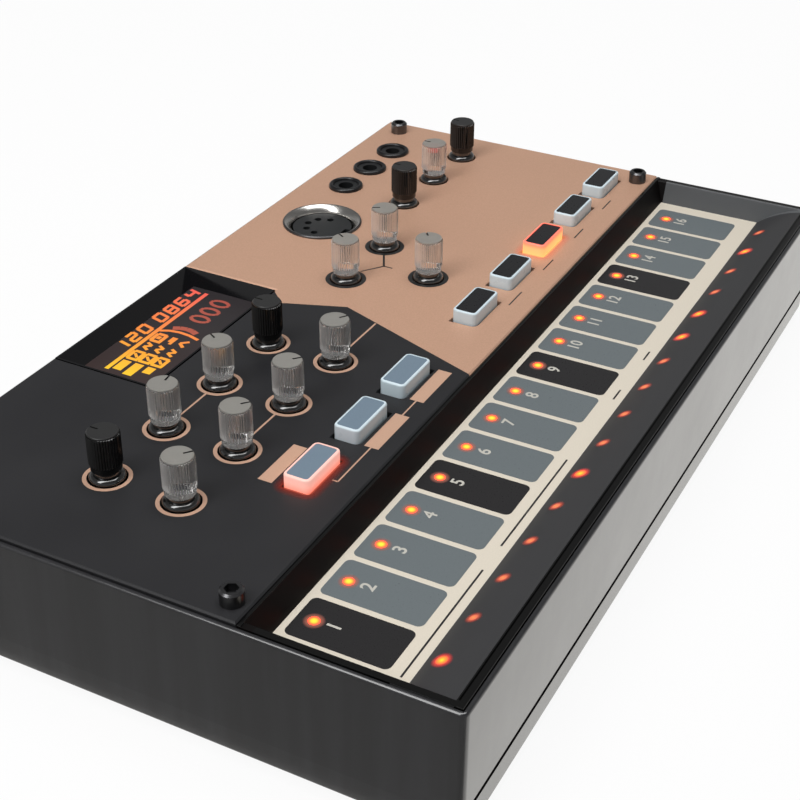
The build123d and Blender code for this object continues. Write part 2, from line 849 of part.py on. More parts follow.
# ================================================================ display
with BuildPart() as display_surround:
    with BuildSketch(Plane.XY.offset(window_top)):
        with Locations(((display_left + display_right) / 2, (display_front + display_rear) / 2)):
            Rectangle(display_right - display_left, display_rear - display_front)
    extrude(amount=display_depth - display_top_drop)
    with BuildSketch(Plane.XY.offset(window_top)) as well_foot:
        foot_left = display_left + display_lip
        foot_right = display_right - display_right_slope
        foot_front = display_front + display_lip
        foot_rear = display_rear - display_rear_slope
        with Locations(((foot_left + foot_right) / 2, (foot_front + foot_rear) / 2)):
            Rectangle(foot_right - foot_left, foot_rear - foot_front)
    with BuildSketch(Plane.XY.offset(panel_top - display_top_drop)) as well_mouth:
        mouth_left = display_left + display_lip / 2
        mouth_right = display_right - display_lip / 2
        mouth_front = display_front + display_lip / 2
        mouth_rear = display_rear - display_lip / 2
        with Locations(((mouth_left + mouth_right) / 2, (mouth_front + mouth_rear) / 2)):
            Rectangle(mouth_right - mouth_left, mouth_rear - mouth_front)
    loft(sections=[well_foot.sketch.face(), well_mouth.sketch.face()], mode=Mode.SUBTRACT)
pieces["display_surround"] = display_surround

with BuildPart() as display_window:
    box_between(
        foot_left - window_overlap, foot_right + window_overlap,
        foot_front - window_overlap, foot_rear + window_overlap, window_under, window_top,
    )
pieces["display_window"] = display_window

with BuildPart() as display_module:
    box_between(
        foot_left - window_overlap, foot_right + window_overlap,
        foot_front - window_overlap, main_rear, board_top, window_under,
    )
pieces["display_module"] = display_module

# ================================================================ sockets on the panel
with BuildPart() as din_shell:
    shell_bore = din_shell_radius - din_shell_wall
    with BuildSketch(upright_plane(din_x, din_y)):
        with BuildLine():
            Polyline(
                (din_flange_radius, panel_top),
                (din_flange_radius - din_flange_height / 2, panel_top + din_flange_height),
                (din_mouth_radius, panel_top + din_flange_height),
                (shell_bore, panel_top - din_mouth_depth),
                (shell_bore, panel_top - din_depth),
                (din_shell_radius, panel_top - din_depth),
                (din_shell_radius, panel_top),
                close=True,
            )
        make_face()
    revolve(axis=vertical_axis(din_x, din_y))
pieces["din_shell"] = din_shell

with BuildPart() as din_insert:
    with BuildSketch(Plane.XY.offset(panel_top - din_depth)):
        with Locations((din_x, din_y)):
            Circle(shell_bore - running)
    extrude(amount=din_insert_base)
    with BuildSketch(Plane.XY.offset(panel_top - din_depth)):
        with Locations((din_x, din_y)):
            Circle(din_insert_radius)
    extrude(amount=din_depth - din_insert_drop)
    with BuildSketch(Plane.XY.offset(panel_top - din_insert_drop)):
        with Locations((din_x, din_y)):
            with PolarLocations(din_pin_circle, 5, angular_range=din_pin_spread, endpoint=True):
                Circle(din_pin_hole_radius)
    extrude(amount=-din_pin_hole_depth, mode=Mode.SUBTRACT)
    with BuildSketch(Plane.XY.offset(panel_top - din_insert_drop)):
        with Locations((din_x, din_y - din_insert_radius)):
            Rectangle(din_key_width, 2 * din_key_depth)
    extrude(amount=-din_pin_hole_depth, mode=Mode.SUBTRACT)
pieces["din_insert"] = din_insert

with BuildPart() as jack_sockets:
    body_top = panel_under - seam
    body_foot = panel_top + jack_bush_stand - jack_bore_length - jack_body_base
    with BuildSketch(Plane.XY.offset(body_foot)):
        with Locations(*jack_points):
            Rectangle(jack_body_width, jack_body_depth)
    extrude(amount=body_top - body_foot)
    with BuildSketch(Plane.XY.offset(body_top)):
        with Locations(*jack_points):
            Circle(jack_bush_radius)
    extrude(amount=panel_top + jack_bush_stand - body_top)
    with BuildSketch(Plane.XY.offset(panel_top + jack_bush_stand)):
        with Locations(*jack_points):
            Circle(jack_bore_radius)
    extrude(amount=-jack_bore_length, mode=Mode.SUBTRACT)
pieces["jack_sockets"] = jack_sockets

with BuildPart() as jack_rings:
    with BuildSketch(Plane.XY.offset(panel_top)):
        with Locations(*jack_points):
            Circle(jack_ring_radius)
    extrude(amount=jack_ring_height)
    chamfer(jack_rings.faces().group_by(Axis.Z)[-1].edges(), jack_ring_chamfer)
    with BuildSketch(Plane.XY.offset(panel_top)):
        with Locations(*jack_points):
            Circle(jack_bush_radius + running)
    extrude(amount=jack_ring_height, mode=Mode.SUBTRACT)
pieces["jack_rings"] = jack_rings

# ================================================================ power parts
with BuildPart() as power_inlet:
    box_between(
        inlet_x - inlet_width / 2, inlet_x + inlet_width / 2,
        inner_rear - inlet_length, inner_rear,
        board_under - inlet_height, board_under,
    )
    nose_end = rear - inlet_face_sink
    with BuildSketch(Plane.XZ.offset(-inner_rear)):
        with Locations((inlet_x, inlet_z)):
            Circle(inlet_nose_radius)
    extrude(amount=-(nose_end - inner_rear))
    with BuildSketch(Plane.XZ.offset(-nose_end)):
        with Locations((inlet_x, inlet_z)):
            Circle(inlet_bore_radius)
            Circle(inlet_pin_radius, mode=Mode.SUBTRACT)
    extrude(amount=inlet_bore_depth, mode=Mode.SUBTRACT)
pieces["power_inlet"] = power_inlet

with BuildPart() as power_button:
    cap_end = rear - power_cap_sink
    cap_start = switch_face + power_travel + slip
    with BuildSketch(Plane.XZ.offset(-cap_start)):
        with Locations((power_x, power_z)):
            Circle(power_cap_radius)
    extrude(amount=-(cap_end - cap_start))
    chamfer(power_button.faces().sort_by(Axis.Y)[-1].edges(), power_cap_chamfer)
    with BuildSketch(Plane.XZ.offset(-cap_start)):
        with Locations((power_x, power_z)):
            Rectangle(power_stem_width, power_stem_width)
    extrude(amount=cap_start - switch_face + power_stem_length)
pieces["power_button"] = power_button

# ================================================================ battery bay
with BuildPart() as battery_lid:
    box_between(lid_left, lid_right, lid_front, rear, case_bottom, lid_top)
    box_between(
        lid_left - tongue_width, lid_right + tongue_width, lid_front, rear - edge_round,
        case_bottom + tongue_rise, case_bottom + tongue_rise + tongue_height,
    )
    chamfer(battery_lid.edges().filter_by(Axis.X).group_by(Axis.Z)[0].sort_by(Axis.Y)[-1], edge_round)
    # thumb grip: shallow grooves across the middle, near the rear edge
    with BuildSketch(Plane.XY.offset(case_bottom)):
        with Locations((bay_centre_x, rear - grip_inset)):
            with GridLocations(0, grip_pitch, 1, grip_grooves):
                Rectangle(grip_length, grip_width)
    extrude(amount=grip_depth, mode=Mode.SUBTRACT)
pieces["battery_lid"] = battery_lid

cell_z = (lid_top + bay_ceiling_under) / 2
row_y = [bay_front + bay_depth / cell_rows * (i + 0.5) for i in range(cell_rows)]

with BuildPart() as battery_contacts:
    for i, y in enumerate(row_y):
        spring_end, button_end = (bay_left, bay_right) if i % 2 else (bay_right, bay_left)
        inward = 1 if i % 2 else -1
        for end, into in ((spring_end, inward), (button_end, -inward)):
            with Locations((end + into * contact_thickness / 2, y, cell_z)):
                Box(contact_thickness, contact_width, contact_width)
        with Locations((button_end - inward * (contact_thickness + contact_button_height / 2), y, cell_z)):
            Cylinder(contact_button_radius, contact_button_height, rotation=(0, 90, 0))
        # bowed leaf that presses on the flat end of the cell
        leaf_foot = spring_end + inward * contact_thickness
        leaf_tip = leaf_foot + inward * leaf_rise
        with BuildSketch(Plane.XZ.offset(-y - leaf_width / 2)):
            with BuildLine():
                outer = ThreePointArc(
                    (leaf_foot, cell_z + leaf_reach), (leaf_tip, cell_z), (leaf_foot, cell_z - leaf_reach)
                )
                Line(outer @ 1, (leaf_foot, cell_z - leaf_reach + leaf_thickness))
                inner = ThreePointArc(
                    (leaf_foot, cell_z - leaf_reach + leaf_thickness),
                    (leaf_tip - inward * leaf_thickness, cell_z),
                    (leaf_foot, cell_z + leaf_reach - leaf_thickness),
                )
                Line(inner @ 1, outer @ 0)
            make_face()
        extrude(amount=leaf_width)
pieces["battery_contacts"] = battery_contacts

with BuildPart() as speaker:
    cone_top = floor_top + speaker_flange + speaker_cone_height
    with BuildSketch(upright_plane(speaker_x, speaker_y)):
        with BuildLine():
            Polyline(
                (0, floor_top + speaker_flange / 2),
                (speaker_magnet_radius / 2, floor_top + speaker_flange / 2),
                (speaker_radius - speaker_flange, floor_top),
                (speaker_radius, floor_top),
                (speaker_radius, floor_top + speaker_flange),
                (speaker_magnet_radius, cone_top),
                (speaker_magnet_radius, cone_top + speaker_magnet_height),
                (0, cone_top + speaker_magnet_height),
                close=True,
            )
        make_face()
    revolve(axis=vertical_axis(speaker_x, speaker_y))
pieces["speaker"] = speaker

for piece_name, piece in pieces.items():
    piece.part.label = piece_name
    export_step(piece.part, f"parts/{piece_name}.step")
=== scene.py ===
"""Looks of the desktop drum machine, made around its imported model."""

import json
import math

import bmesh
import bpy
from mathutils import Matrix, Vector

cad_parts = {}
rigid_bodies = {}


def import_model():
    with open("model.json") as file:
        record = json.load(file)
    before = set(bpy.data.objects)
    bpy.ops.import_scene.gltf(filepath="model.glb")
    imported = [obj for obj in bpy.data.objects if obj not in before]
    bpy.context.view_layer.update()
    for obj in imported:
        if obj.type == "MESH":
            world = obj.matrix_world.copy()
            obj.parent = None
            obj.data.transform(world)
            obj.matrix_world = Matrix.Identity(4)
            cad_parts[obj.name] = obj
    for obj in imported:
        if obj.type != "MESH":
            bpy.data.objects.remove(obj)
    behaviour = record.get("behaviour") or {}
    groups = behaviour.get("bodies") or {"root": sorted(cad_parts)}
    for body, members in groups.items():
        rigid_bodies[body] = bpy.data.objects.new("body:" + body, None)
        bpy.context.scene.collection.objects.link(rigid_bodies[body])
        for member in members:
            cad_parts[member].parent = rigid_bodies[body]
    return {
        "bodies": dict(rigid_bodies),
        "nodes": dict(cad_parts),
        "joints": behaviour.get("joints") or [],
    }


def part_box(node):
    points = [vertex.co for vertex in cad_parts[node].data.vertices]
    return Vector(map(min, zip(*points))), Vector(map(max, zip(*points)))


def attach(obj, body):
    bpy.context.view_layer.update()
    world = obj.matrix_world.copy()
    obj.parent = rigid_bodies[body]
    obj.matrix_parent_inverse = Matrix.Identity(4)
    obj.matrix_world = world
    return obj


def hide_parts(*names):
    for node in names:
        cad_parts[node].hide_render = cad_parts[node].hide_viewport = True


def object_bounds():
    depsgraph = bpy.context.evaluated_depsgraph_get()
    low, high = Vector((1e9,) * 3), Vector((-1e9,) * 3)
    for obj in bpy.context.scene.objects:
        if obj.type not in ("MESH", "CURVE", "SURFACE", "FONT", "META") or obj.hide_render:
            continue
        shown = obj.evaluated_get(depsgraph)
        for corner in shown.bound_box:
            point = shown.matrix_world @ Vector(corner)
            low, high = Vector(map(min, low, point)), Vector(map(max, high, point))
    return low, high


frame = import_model()
nodes = frame["nodes"]
cad_low, cad_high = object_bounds()

# ================================================================ places on the machine
MM = 0.001
CASE = "case"
case_left = cad_low[0]
case_front = cad_low[1]
panel_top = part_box("faceplate")[1].z
board_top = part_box("touch_board")[1].z
window_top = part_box("display_window")[1].z
knob_joints = {
    joint["child"]: joint for joint in frame["joints"] if joint["child"].startswith("knob_")
}


def from_left(x):
    """A place along the machine, given in millimetres from its left edge."""
    return case_left + x * MM


def from_front(y):
    """A place across the machine, given in millimetres from its front edge."""
    return case_front + y * MM


def from_edges(x, y):
    return from_left(x), from_front(y)


def centre_of(name):
    """The middle of a CAD node's box."""
    low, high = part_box(name)
    return (low + high) / 2


# the joint groove between the upper and the lower case
groove_foot = panel_top - 21.9 * MM
groove_top = panel_top - 20.9 * MM
groove_depth = 0.8 * MM

# the row of touch keys, in millimetres from the left and front edges
key_count = 16
key_pitch = 11.17
key_width = 10.0
first_key = 12.8
key_front = 16.7
key_rear = 35.6

# the row of key lamps, with the radii of their lenses and of the painted glow round them
lamp_pitch = 11.19
first_lamp = from_edges(12.5, 32.5)
lens_radius = 1.0
lamp_glow_radius = 1.9

# the leaning ovals of light that the lamps throw on the front slope: the reach of an oval and
# the length and depth of the patch that carries it are in millimetres
first_leak = from_edges(11.6, 9.6)
leak_lean = -0.8
bright_leaks = (0, 5, 10, 11, 14)
bright_reach = 2.3
bright_stretch = 0.74
bright_patch = (7.0, 5.2)
faint_reach = 1.6
faint_stretch = 0.9
faint_patch = (4.5, 4.0)

# the lit figures and the painted glow in the display window, in millimetres from the left edge
figures_left = 57.0
figures_right = 93.0
painted_glow_right = 83.0

# caps of the push buttons
button_length = 11.7 * MM
button_depth = 5.4 * MM
button_height = 2.7 * MM
button_crown = panel_top + button_height
button_foot = panel_top - 1.8 * MM

# light that spills from two of the buttons, in millimetres
spill_reach = 2.0
spill_rounding = 0.9


# ================================================================ finishes
class Signal:
    """A socket of a shader. Python's operators on it add the Math nodes."""

    def __init__(self, tree, socket):
        self.tree = tree
        self.socket = socket

    def math(self, operation, *values):
        node = self.tree.nodes.new("ShaderNodeMath")
        node.operation = operation
        for target, value in zip(node.inputs, values):
            plug(self.tree, target, value)
        return Signal(self.tree, node.outputs[0])

    def __add__(self, other):
        return self.math("ADD", self, other)

    def __radd__(self, other):
        return self.math("ADD", other, self)

    def __sub__(self, other):
        return self.math("SUBTRACT", self, other)

    def __rsub__(self, other):
        return self.math("SUBTRACT", other, self)

    def __mul__(self, other):
        return self.math("MULTIPLY", self, other)

    def __rmul__(self, other):
        return self.math("MULTIPLY", other, self)

    def __truediv__(self, other):
        return self.math("DIVIDE", self, other)

    def __pow__(self, other):
        return self.math("POWER", self, other)

    def __gt__(self, other):
        return self.math("GREATER_THAN", self, other)

    def __lt__(self, other):
        return self.math("LESS_THAN", self, other)

    def __abs__(self):
        return self.math("ABSOLUTE", self)


def plug(tree, target, value):
    """Set a socket to a number or colour, or link a signal to it."""
    if isinstance(value, Signal):
        tree.links.new(value.socket, target)
    elif isinstance(value, tuple) and len(value) == 3 and target.type == "RGBA":
        target.default_value = (*value, 1.0)
    else:
        target.default_value = value


class Finish:
    """A material that is built up node by node on one Principled shader."""

    def __init__(self, name, **constants):
        self.material = bpy.data.materials.new(name)
        self.material.use_nodes = True
        self.tree = self.material.node_tree
        self.shader = self.tree.nodes["Principled BSDF"]
        self.place = self.node("ShaderNodeTexCoord", out="Object")
        for socket, value in constants.items():
            self.set(socket.replace("_", " "), value)

    def node(self, kind, settings=None, out=0, **inputs):
        node = self.tree.nodes.new(kind)
        for setting, value in (settings or {}).items():
            if setting == "stops":
                self.fill_ramp(node.color_ramp, value)
            else:
                setattr(node, setting, value)
        for socket, value in inputs.items():
            plug(self.tree, node.inputs[socket.replace("_", " ")], value)
        return Signal(self.tree, node.outputs[out])

    @staticmethod
    def fill_ramp(ramp, stops):
        while len(ramp.elements) < len(stops):
            ramp.elements.new(1.0)
        for element, (position, colour) in zip(ramp.elements, stops):
            element.position = position
            element.color = (*colour, 1.0)

    def set(self, socket, value):
        plug(self.tree, self.shader.inputs[socket], value)

    def axes(self):
        split = self.node("ShaderNodeSeparateXYZ", Vector=self.place)
        outputs = split.socket.node.outputs
        return [Signal(self.tree, outputs[name]) for name in "XYZ"]

    def noise(self, size, detail=3.0, roughness=0.5):
        """Cloudy variation from 0 to 1 whose patches are about size across, in metres."""
        return self.node(
            "ShaderNodeTexNoise", Vector=self.place, Scale=1.0 / size, Detail=detail, Roughness=roughness
        )

    def streaks(self, size, stretch):
        """Noise drawn out along the axes by the three stretch factors."""
        drawn = self.node("ShaderNodeMapping", Vector=self.place, Scale=stretch)
        return self.node("ShaderNodeTexNoise", Vector=drawn, Scale=1.0 / size, Detail=3.0)

    def spread(self, value, low, high, to_low=0.0, to_high=1.0):
        """Map the stretch low..high of a value to to_low..to_high, and hold it past the ends."""
        return self.node(
            "ShaderNodeMapRange", {"clamp": True},
            Value=value, From_Min=low, From_Max=high, To_Min=to_low, To_Max=to_high,
        )

    def mix(self, mask, first, second):
        """Colour that goes from first to second as the mask goes from 0 to 1."""
        node = self.tree.nodes.new("ShaderNodeMix")
        node.data_type = "RGBA"
        plug(self.tree, node.inputs[0], mask)
        plug(self.tree, node.inputs[6], first)
        plug(self.tree, node.inputs[7], second)
        return Signal(self.tree, node.outputs[2])

    def along_keys(self, first, pitch, lean=0.0, stretch=1.0):
        """Distance in millimetres from the nearest of a row of spots, which may be leaning ovals."""
        x, y, _ = self.axes()
        count = (x - first[0]) / (pitch * MM) + 0.5
        aside = (count.math("FRACT", count) - 0.5) * pitch
        back = (y - first[1]) / MM
        along = (aside * math.cos(lean) + back * math.sin(lean)) / stretch
        across = back * math.cos(lean) - aside * math.sin(lean)
        return (along * along + across * across) ** 0.5

    def beyond_button(self, body):
        """How far a point lies beyond a button's rounded edge, as a share of the spill's reach."""
        centre = centre_of(body)
        x, y, _ = self.axes()
        aside = abs(x - centre.x) / MM - button_length / MM / 2 + spill_rounding
        back = abs(y - centre.y) / MM - button_depth / MM / 2 + spill_rounding
        aside = aside.math("MAXIMUM", aside, 0.0)
        back = back.math("MAXIMUM", back, 0.0)
        return ((aside * aside + back * back) ** 0.5 - spill_rounding) / spill_reach

    def bump(self, height, distance, strength):
        bumps = self.node("ShaderNodeBump", Height=height, Distance=distance, Strength=strength)
        self.set("Normal", bumps)


def moulded_plastic(name, colour, roughness, grain=0.0004, wear=0.5):
    """Moulded plastic with a fine grain, faint handling marks and uneven gloss."""
    finish = Finish(name)
    clouds = finish.noise(0.018, 4.0, 0.6)
    fine = finish.noise(grain, 2.0)
    lighter = tuple(min(1.0, c * (1.0 + 0.5 * wear) + 0.004 * wear) for c in colour)
    finish.set("Base Color", finish.mix(finish.spread(clouds, 0.35, 0.75), colour, lighter))
    marks = finish.streaks(0.006, (1.0, 0.16, 1.0))
    gloss = finish.spread(clouds, 0.3, 0.8, roughness * 0.85, roughness * 1.15)
    finish.set("Roughness", gloss + wear * 0.06 * finish.spread(marks, 0.6, 0.75))
    finish.bump(fine, 0.000012, 0.35)
    return finish.material


def case_moulding(name, colour):
    """Dark case plastic with a polished skin, faint upright streaks and a dull black joint groove.

    The left wall stays plain, because a strip fills the groove there.
    """
    margin = 0.02 * MM
    wall_skin = 0.05 * MM
    finish = Finish(name, Specular_IOR_Level=0.25, Coat_IOR=1.7, Coat_Roughness=0.18)
    x, _, z = finish.axes()
    groove = (z > groove_foot - margin) * (z < groove_top + margin) * (x > case_left + wall_skin)
    clouds = finish.noise(0.02, 4.0, 0.6)
    upright = finish.streaks(0.0035, (1.0, 1.0, 0.06))
    lighter = tuple(1.45 * c for c in colour)
    skin = finish.mix(finish.spread(upright, 0.4, 0.7), colour, lighter)
    finish.set("Base Color", finish.mix(groove, skin, (0.001, 0.001, 0.001)))
    finish.set("Roughness", finish.spread(clouds, 0.3, 0.75, 0.3, 0.38) + 0.5 * groove)
    finish.set("Coat Weight", finish.spread(groove, 0.0, 1.0, 0.9, 0.0))
    finish.bump(finish.noise(0.0005, 2.0), 0.00001, 0.2)
    return finish.material


def lacquer(name, colour):
    """Glossy black that mirrors the lights."""
    finish = Finish(name, Specular_IOR_Level=0.3, Coat_Weight=1.0, Coat_IOR=1.85, Coat_Roughness=0.06)
    clouds = finish.noise(0.002)
    finish.set("Base Color", finish.mix(clouds, colour, tuple(1.6 * c for c in colour)))
    finish.set("Roughness", finish.spread(clouds, 0.3, 0.7, 0.25, 0.35))
    return finish.material


def strip_frame():
    """Black frame of the touch strip.

    It is polished on its ledges, satin on the front slope and dull on the rear wall. Its right end
    wall carries a painted reflection: it is coloured a lighter grey than the rest.
    """
    slope_front = from_front(2.55)
    slope_rear = from_front(12.9)
    right_wall = from_left(188.9)
    rear_wall = from_front(36.5)
    ledge_foot = panel_top - 0.55 * MM
    rear_crest = panel_top - 0.4 * MM
    finish = Finish("strip_frame", Specular_IOR_Level=0.12, Coat_Roughness=0.08)
    x, y, z = finish.axes()
    slope = (y > slope_front) * (y < slope_rear) * (z < ledge_foot)
    # the right end wall, which gets a painted reflection below
    end = (x > right_wall) * (z < ledge_foot)
    back = (y > rear_wall) * (z < rear_crest)
    unpolished = slope + end + back
    clouds = finish.noise(0.02, 4.0, 0.6)
    satin = finish.mix(clouds, (0.04, 0.04, 0.042), (0.05, 0.05, 0.052))
    polished = finish.mix(clouds, (0.004, 0.004, 0.004), (0.006, 0.006, 0.006))
    dull = finish.mix(clouds, (0.003, 0.002, 0.002), (0.005, 0.004, 0.004))
    skin = finish.mix(slope, polished, satin)
    # painted reflection: the right end wall is coloured a lighter grey than the black frame
    skin = finish.mix(end, skin, (0.11, 0.115, 0.12))
    finish.set("Base Color", finish.mix(back, skin, dull))
    finish.set("Roughness", finish.spread(unpolished, 0.0, 1.0, 0.12, 0.42) + 0.05 * clouds)
    finish.set("Coat Weight", finish.spread(unpolished, 0.0, 1.0, 0.5, 0.0))
    finish.bump(finish.noise(0.0004, 2.0), 0.00001, 0.3)
    return finish.material


def glowing(name, stops, strength, value, faded=None):
    """Lit face whose colour follows a ramp over a value from 0 to 1."""
    base = (0.03, 0.012, 0.008)
    finish = Finish(name, Roughness=0.4, Emission_Strength=strength)
    clouds = finish.noise(0.0006)
    reach = value(finish)
    finish.set("Emission Color", finish.node("ShaderNodeValToRGB", {"stops": stops}, Fac=reach))
    finish.set("Base Color", finish.mix(clouds, base, tuple(1.3 * c for c in base)))
    if faded:
        finish.set("Alpha", finish.spread(reach, *faded))
    return finish.material


def metal(name, colour, roughness):
    """Metal with faint turning marks and clouds."""
    finish = Finish(name, Metallic=1.0)
    turning = finish.streaks(0.0006, (1.0, 1.0, 0.1))
    clouds = finish.noise(0.004)
    darker = tuple(0.8 * c for c in colour)
    finish.set("Base Color", finish.mix(finish.spread(clouds, 0.3, 0.8), colour, darker))
    finish.set("Roughness", finish.spread(turning, 0.3, 0.7, roughness * 0.95, roughness * 1.08))
    finish.bump(turning, 0.0000006, 0.2)
    return finish.material


def panel_paint():
    """Satin black paint, with a copper field to the right of a slanting border."""
    finish = Finish("panel_paint", Specular_IOR_Level=0.3)
    x, y, _ = finish.axes()
    front_x, front_y = from_edges(84.1, 39.5)
    bend_x, bend_y = from_edges(96.6, 73.6)
    notch_x, notch_y = from_edges(91.6, 86.6)
    rear_x, rear_y = from_edges(95.6, 91.0)
    slant = finish.spread(y, front_y, bend_y, front_x, bend_x)
    step_back = finish.spread(y, bend_y, notch_y, 0.0, notch_x - bend_x)
    step_out = finish.spread(y, notch_y, rear_y, 0.0, rear_x - notch_x)
    copper = x > slant + step_back + step_out
    flakes = finish.noise(0.00025, 2.0)
    clouds = finish.noise(0.03, 3.0)
    black = finish.mix(finish.spread(clouds, 0.3, 0.7), (0.017, 0.017, 0.019), (0.022, 0.022, 0.024))
    rose = finish.mix(finish.spread(flakes, 0.35, 0.7), (0.6, 0.36, 0.245), (0.66, 0.4, 0.28))
    finish.set("Base Color", finish.mix(copper, black, rose))
    finish.set("Metallic", copper * 0.3)
    rough = finish.spread(clouds, 0.3, 0.7, 0.42, 0.5)
    finish.set("Roughness", rough + 0.04 * flakes)
    finish.bump(flakes, 0.000015, 0.3)
    return finish.material


def clear_plastic(name, colour, roughness, see_through):
    """Acrylic, from glass-clear to frosted."""
    finish = Finish(name, IOR=1.45, Transmission_Weight=see_through)
    clouds = finish.noise(0.002)
    finish.set("Base Color", finish.mix(clouds, colour, tuple(0.9 * c for c in colour)))
    finish.set("Roughness", finish.spread(clouds, 0.3, 0.7, roughness * 0.8, roughness * 1.2))
    return finish.material


def milky_plastic(name, colour, glow=None, strength=0.0):
    """Translucent button moulding: paler at its top edge, with painted shade lower down, lit from below
    when it glows.
    """
    finish = Finish(name, Specular_IOR_Level=0.45, Emission_Strength=strength)
    _, _, z = finish.axes()
    height = finish.spread(z, panel_top, button_crown)
    clouds = finish.noise(0.003)
    # painted shade: the button is coloured 8% darker at the panel than at its top edge
    deep = tuple(0.92 * c for c in colour)
    finish.set("Base Color", finish.mix(height, deep, colour))
    finish.set("Roughness", finish.spread(clouds, 0.3, 0.7, 0.26, 0.36))
    if glow:
        finish.set("Emission Color", finish.node("ShaderNodeValToRGB", {"stops": glow}, Fac=height))
    return finish.material


def printed(name, colour, roughness=0.42):
    """Ink or paint with a fine grain."""
    finish = Finish(name)
    grain = finish.noise(0.0003, 2.0)
    finish.set("Base Color", finish.mix(grain, colour, tuple(0.88 * c for c in colour)))
    finish.set("Roughness", finish.spread(grain, 0.3, 0.7, roughness * 0.9, roughness * 1.1))
    return finish.material


def display_tint_and_glow():
    """Dark gloss of the display window, with a faint painted red-brown glow that is strongest near its
    lit end.
    """
    finish = Finish("display_tint_and_glow", Specular_IOR_Level=0.3, Emission_Strength=1.0)
    x, _, _ = finish.axes()
    clouds = finish.noise(0.01)
    near = finish.spread(x, from_left(figures_left), from_left(painted_glow_right))
    # painted glow: the window gives off a faint red light, strongest at the left end of the figures
    finish.set("Emission Color", finish.mix(near, (0.022, 0.008, 0.006), (0.008, 0.005, 0.006)))
    finish.set("Base Color", finish.mix(clouds, (0.02, 0.019, 0.02), (0.028, 0.026, 0.027)))
    finish.set("Roughness", finish.spread(clouds, 0.3, 0.7, 0.34, 0.4))
    return finish.material


def across_display(finish):
    """The way across the lit figures, from 0 at their left end to 1."""
    x, _, _ = finish.axes()
    return finish.spread(x, from_left(figures_left), from_left(figures_right))


def leak_light(reach, stretch):
    """How far a point lies from its lamp's oval of light, as a share of the oval's reach."""
    return lambda finish: finish.along_keys(first_leak, key_pitch, leak_lean, stretch) / reach


case_black = case_moulding("case_black", (0.014, 0.014, 0.016))
case_lower = case_moulding("case_lower", (0.018, 0.018, 0.02))
gloss_black = moulded_plastic("gloss_black", (0.006, 0.006, 0.007), 0.09, wear=0.2)
knob_black = moulded_plastic("knob_black", (0.004, 0.004, 0.004), 0.14, wear=0.2)
collar_black = lacquer("collar_black", (0.002, 0.002, 0.002))
socket_black = moulded_plastic("socket_black", (0.013, 0.014, 0.015), 0.45)
ring_black = moulded_plastic("ring_black", (0.006, 0.006, 0.007), 0.35, wear=0.2)
dark_inside = moulded_plastic("dark_inside", (0.01, 0.01, 0.01), 0.6)
rubber_black = moulded_plastic("rubber_black", (0.02, 0.02, 0.02), 0.8, grain=0.0008)
inlay_grey = printed("inlay_grey", (0.18, 0.245, 0.31), 0.35)
inlay_black = printed("inlay_black", (0.01, 0.01, 0.012), 0.3)
print_copper = printed("print_copper", (0.6, 0.37, 0.26))
print_black = printed("print_black", (0.02, 0.02, 0.02))
print_cream = printed("print_cream", (0.78, 0.71, 0.595), 0.35)
numeral_cream = printed("numeral_cream", (0.6, 0.58, 0.52), 0.35)
key_grey = printed("key_grey", (0.155, 0.18, 0.19), 0.3)
key_black = printed("key_black", (0.02, 0.019, 0.02), 0.3)
chrome = metal("chrome", (0.62, 0.6, 0.57), 0.24)
plated = metal("plated", (0.6, 0.58, 0.52), 0.25)
screw_steel = metal("screw_steel", (0.13, 0.13, 0.135), 0.3)
clear_knob = clear_plastic("clear_knob", (0.98, 0.97, 0.955), 0.03, 0.98)
# painted sheen: a hazier, paler copy of the clear knob for one flank of each rib, so that the ribs show
# light and dark stripes
painted_rib_sheen = clear_plastic("painted_rib_sheen", (0.98, 0.95, 0.92), 0.35, 0.7)
frosted_knob = clear_plastic("frosted_knob", (0.32, 0.31, 0.285), 0.5, 0.25)
circuit_green = moulded_plastic("circuit_green", (0.01, 0.06, 0.03), 0.4)
lamp_orange = glowing(
    "lamp_orange",
    ((0.0, (1.0, 0.22, 0.01)), (0.45, (1.0, 0.16, 0.01)),
     (0.75, (1.0, 0.06, 0.01)), (1.0, (0.9, 0.03, 0.02))),
    5.0, lambda finish: finish.along_keys(first_lamp, lamp_pitch) / lens_radius,
)
# painted glow of each key lamp on the board round its lens, fading out towards its edge
painted_lamp_glow = glowing(
    "painted_lamp_glow", ((0.0, (0.95, 0.3, 0.12)), (0.55, (0.85, 0.28, 0.16)), (1.0, (0.7, 0.25, 0.22))),
    0.7, lambda finish: finish.along_keys(first_lamp, lamp_pitch) / lamp_glow_radius,
    faded=(0.4, 1.0, 0.5, 0.0),
)
leak_bright = glowing(
    "leak_bright",
    ((0.0, (1.0, 0.7, 0.02)), (0.3, (1.0, 0.3, 0.03)),
     (0.6, (0.9, 0.07, 0.05)), (1.0, (0.4, 0.03, 0.05))),
    1.3, leak_light(bright_reach, bright_stretch), faded=(0.4, 1.0, 1.0, 0.0),
)
leak_faint = glowing(
    "leak_faint", ((0.0, (1.0, 0.36, 0.1)), (0.4, (0.9, 0.16, 0.08)), (1.0, (0.3, 0.03, 0.04))),
    1.0, leak_light(faint_reach, faint_stretch), faded=(0.35, 1.0, 1.0, 0.0),
)
display_lit = glowing(
    "display_lit",
    ((0.0, (1.0, 0.62, 0.02)), (0.2, (1.0, 0.42, 0.03)),
     (0.5, (0.95, 0.26, 0.05)), (1.0, (0.9, 0.12, 0.09))),
    1.0, across_display,
)
display_dim = glowing(
    "display_dim", ((0.0, (0.5, 0.12, 0.06)), (1.0, (0.42, 0.08, 0.06))), 0.9, across_display
)
button_idle = milky_plastic("button_idle", (0.68, 0.8, 0.86))
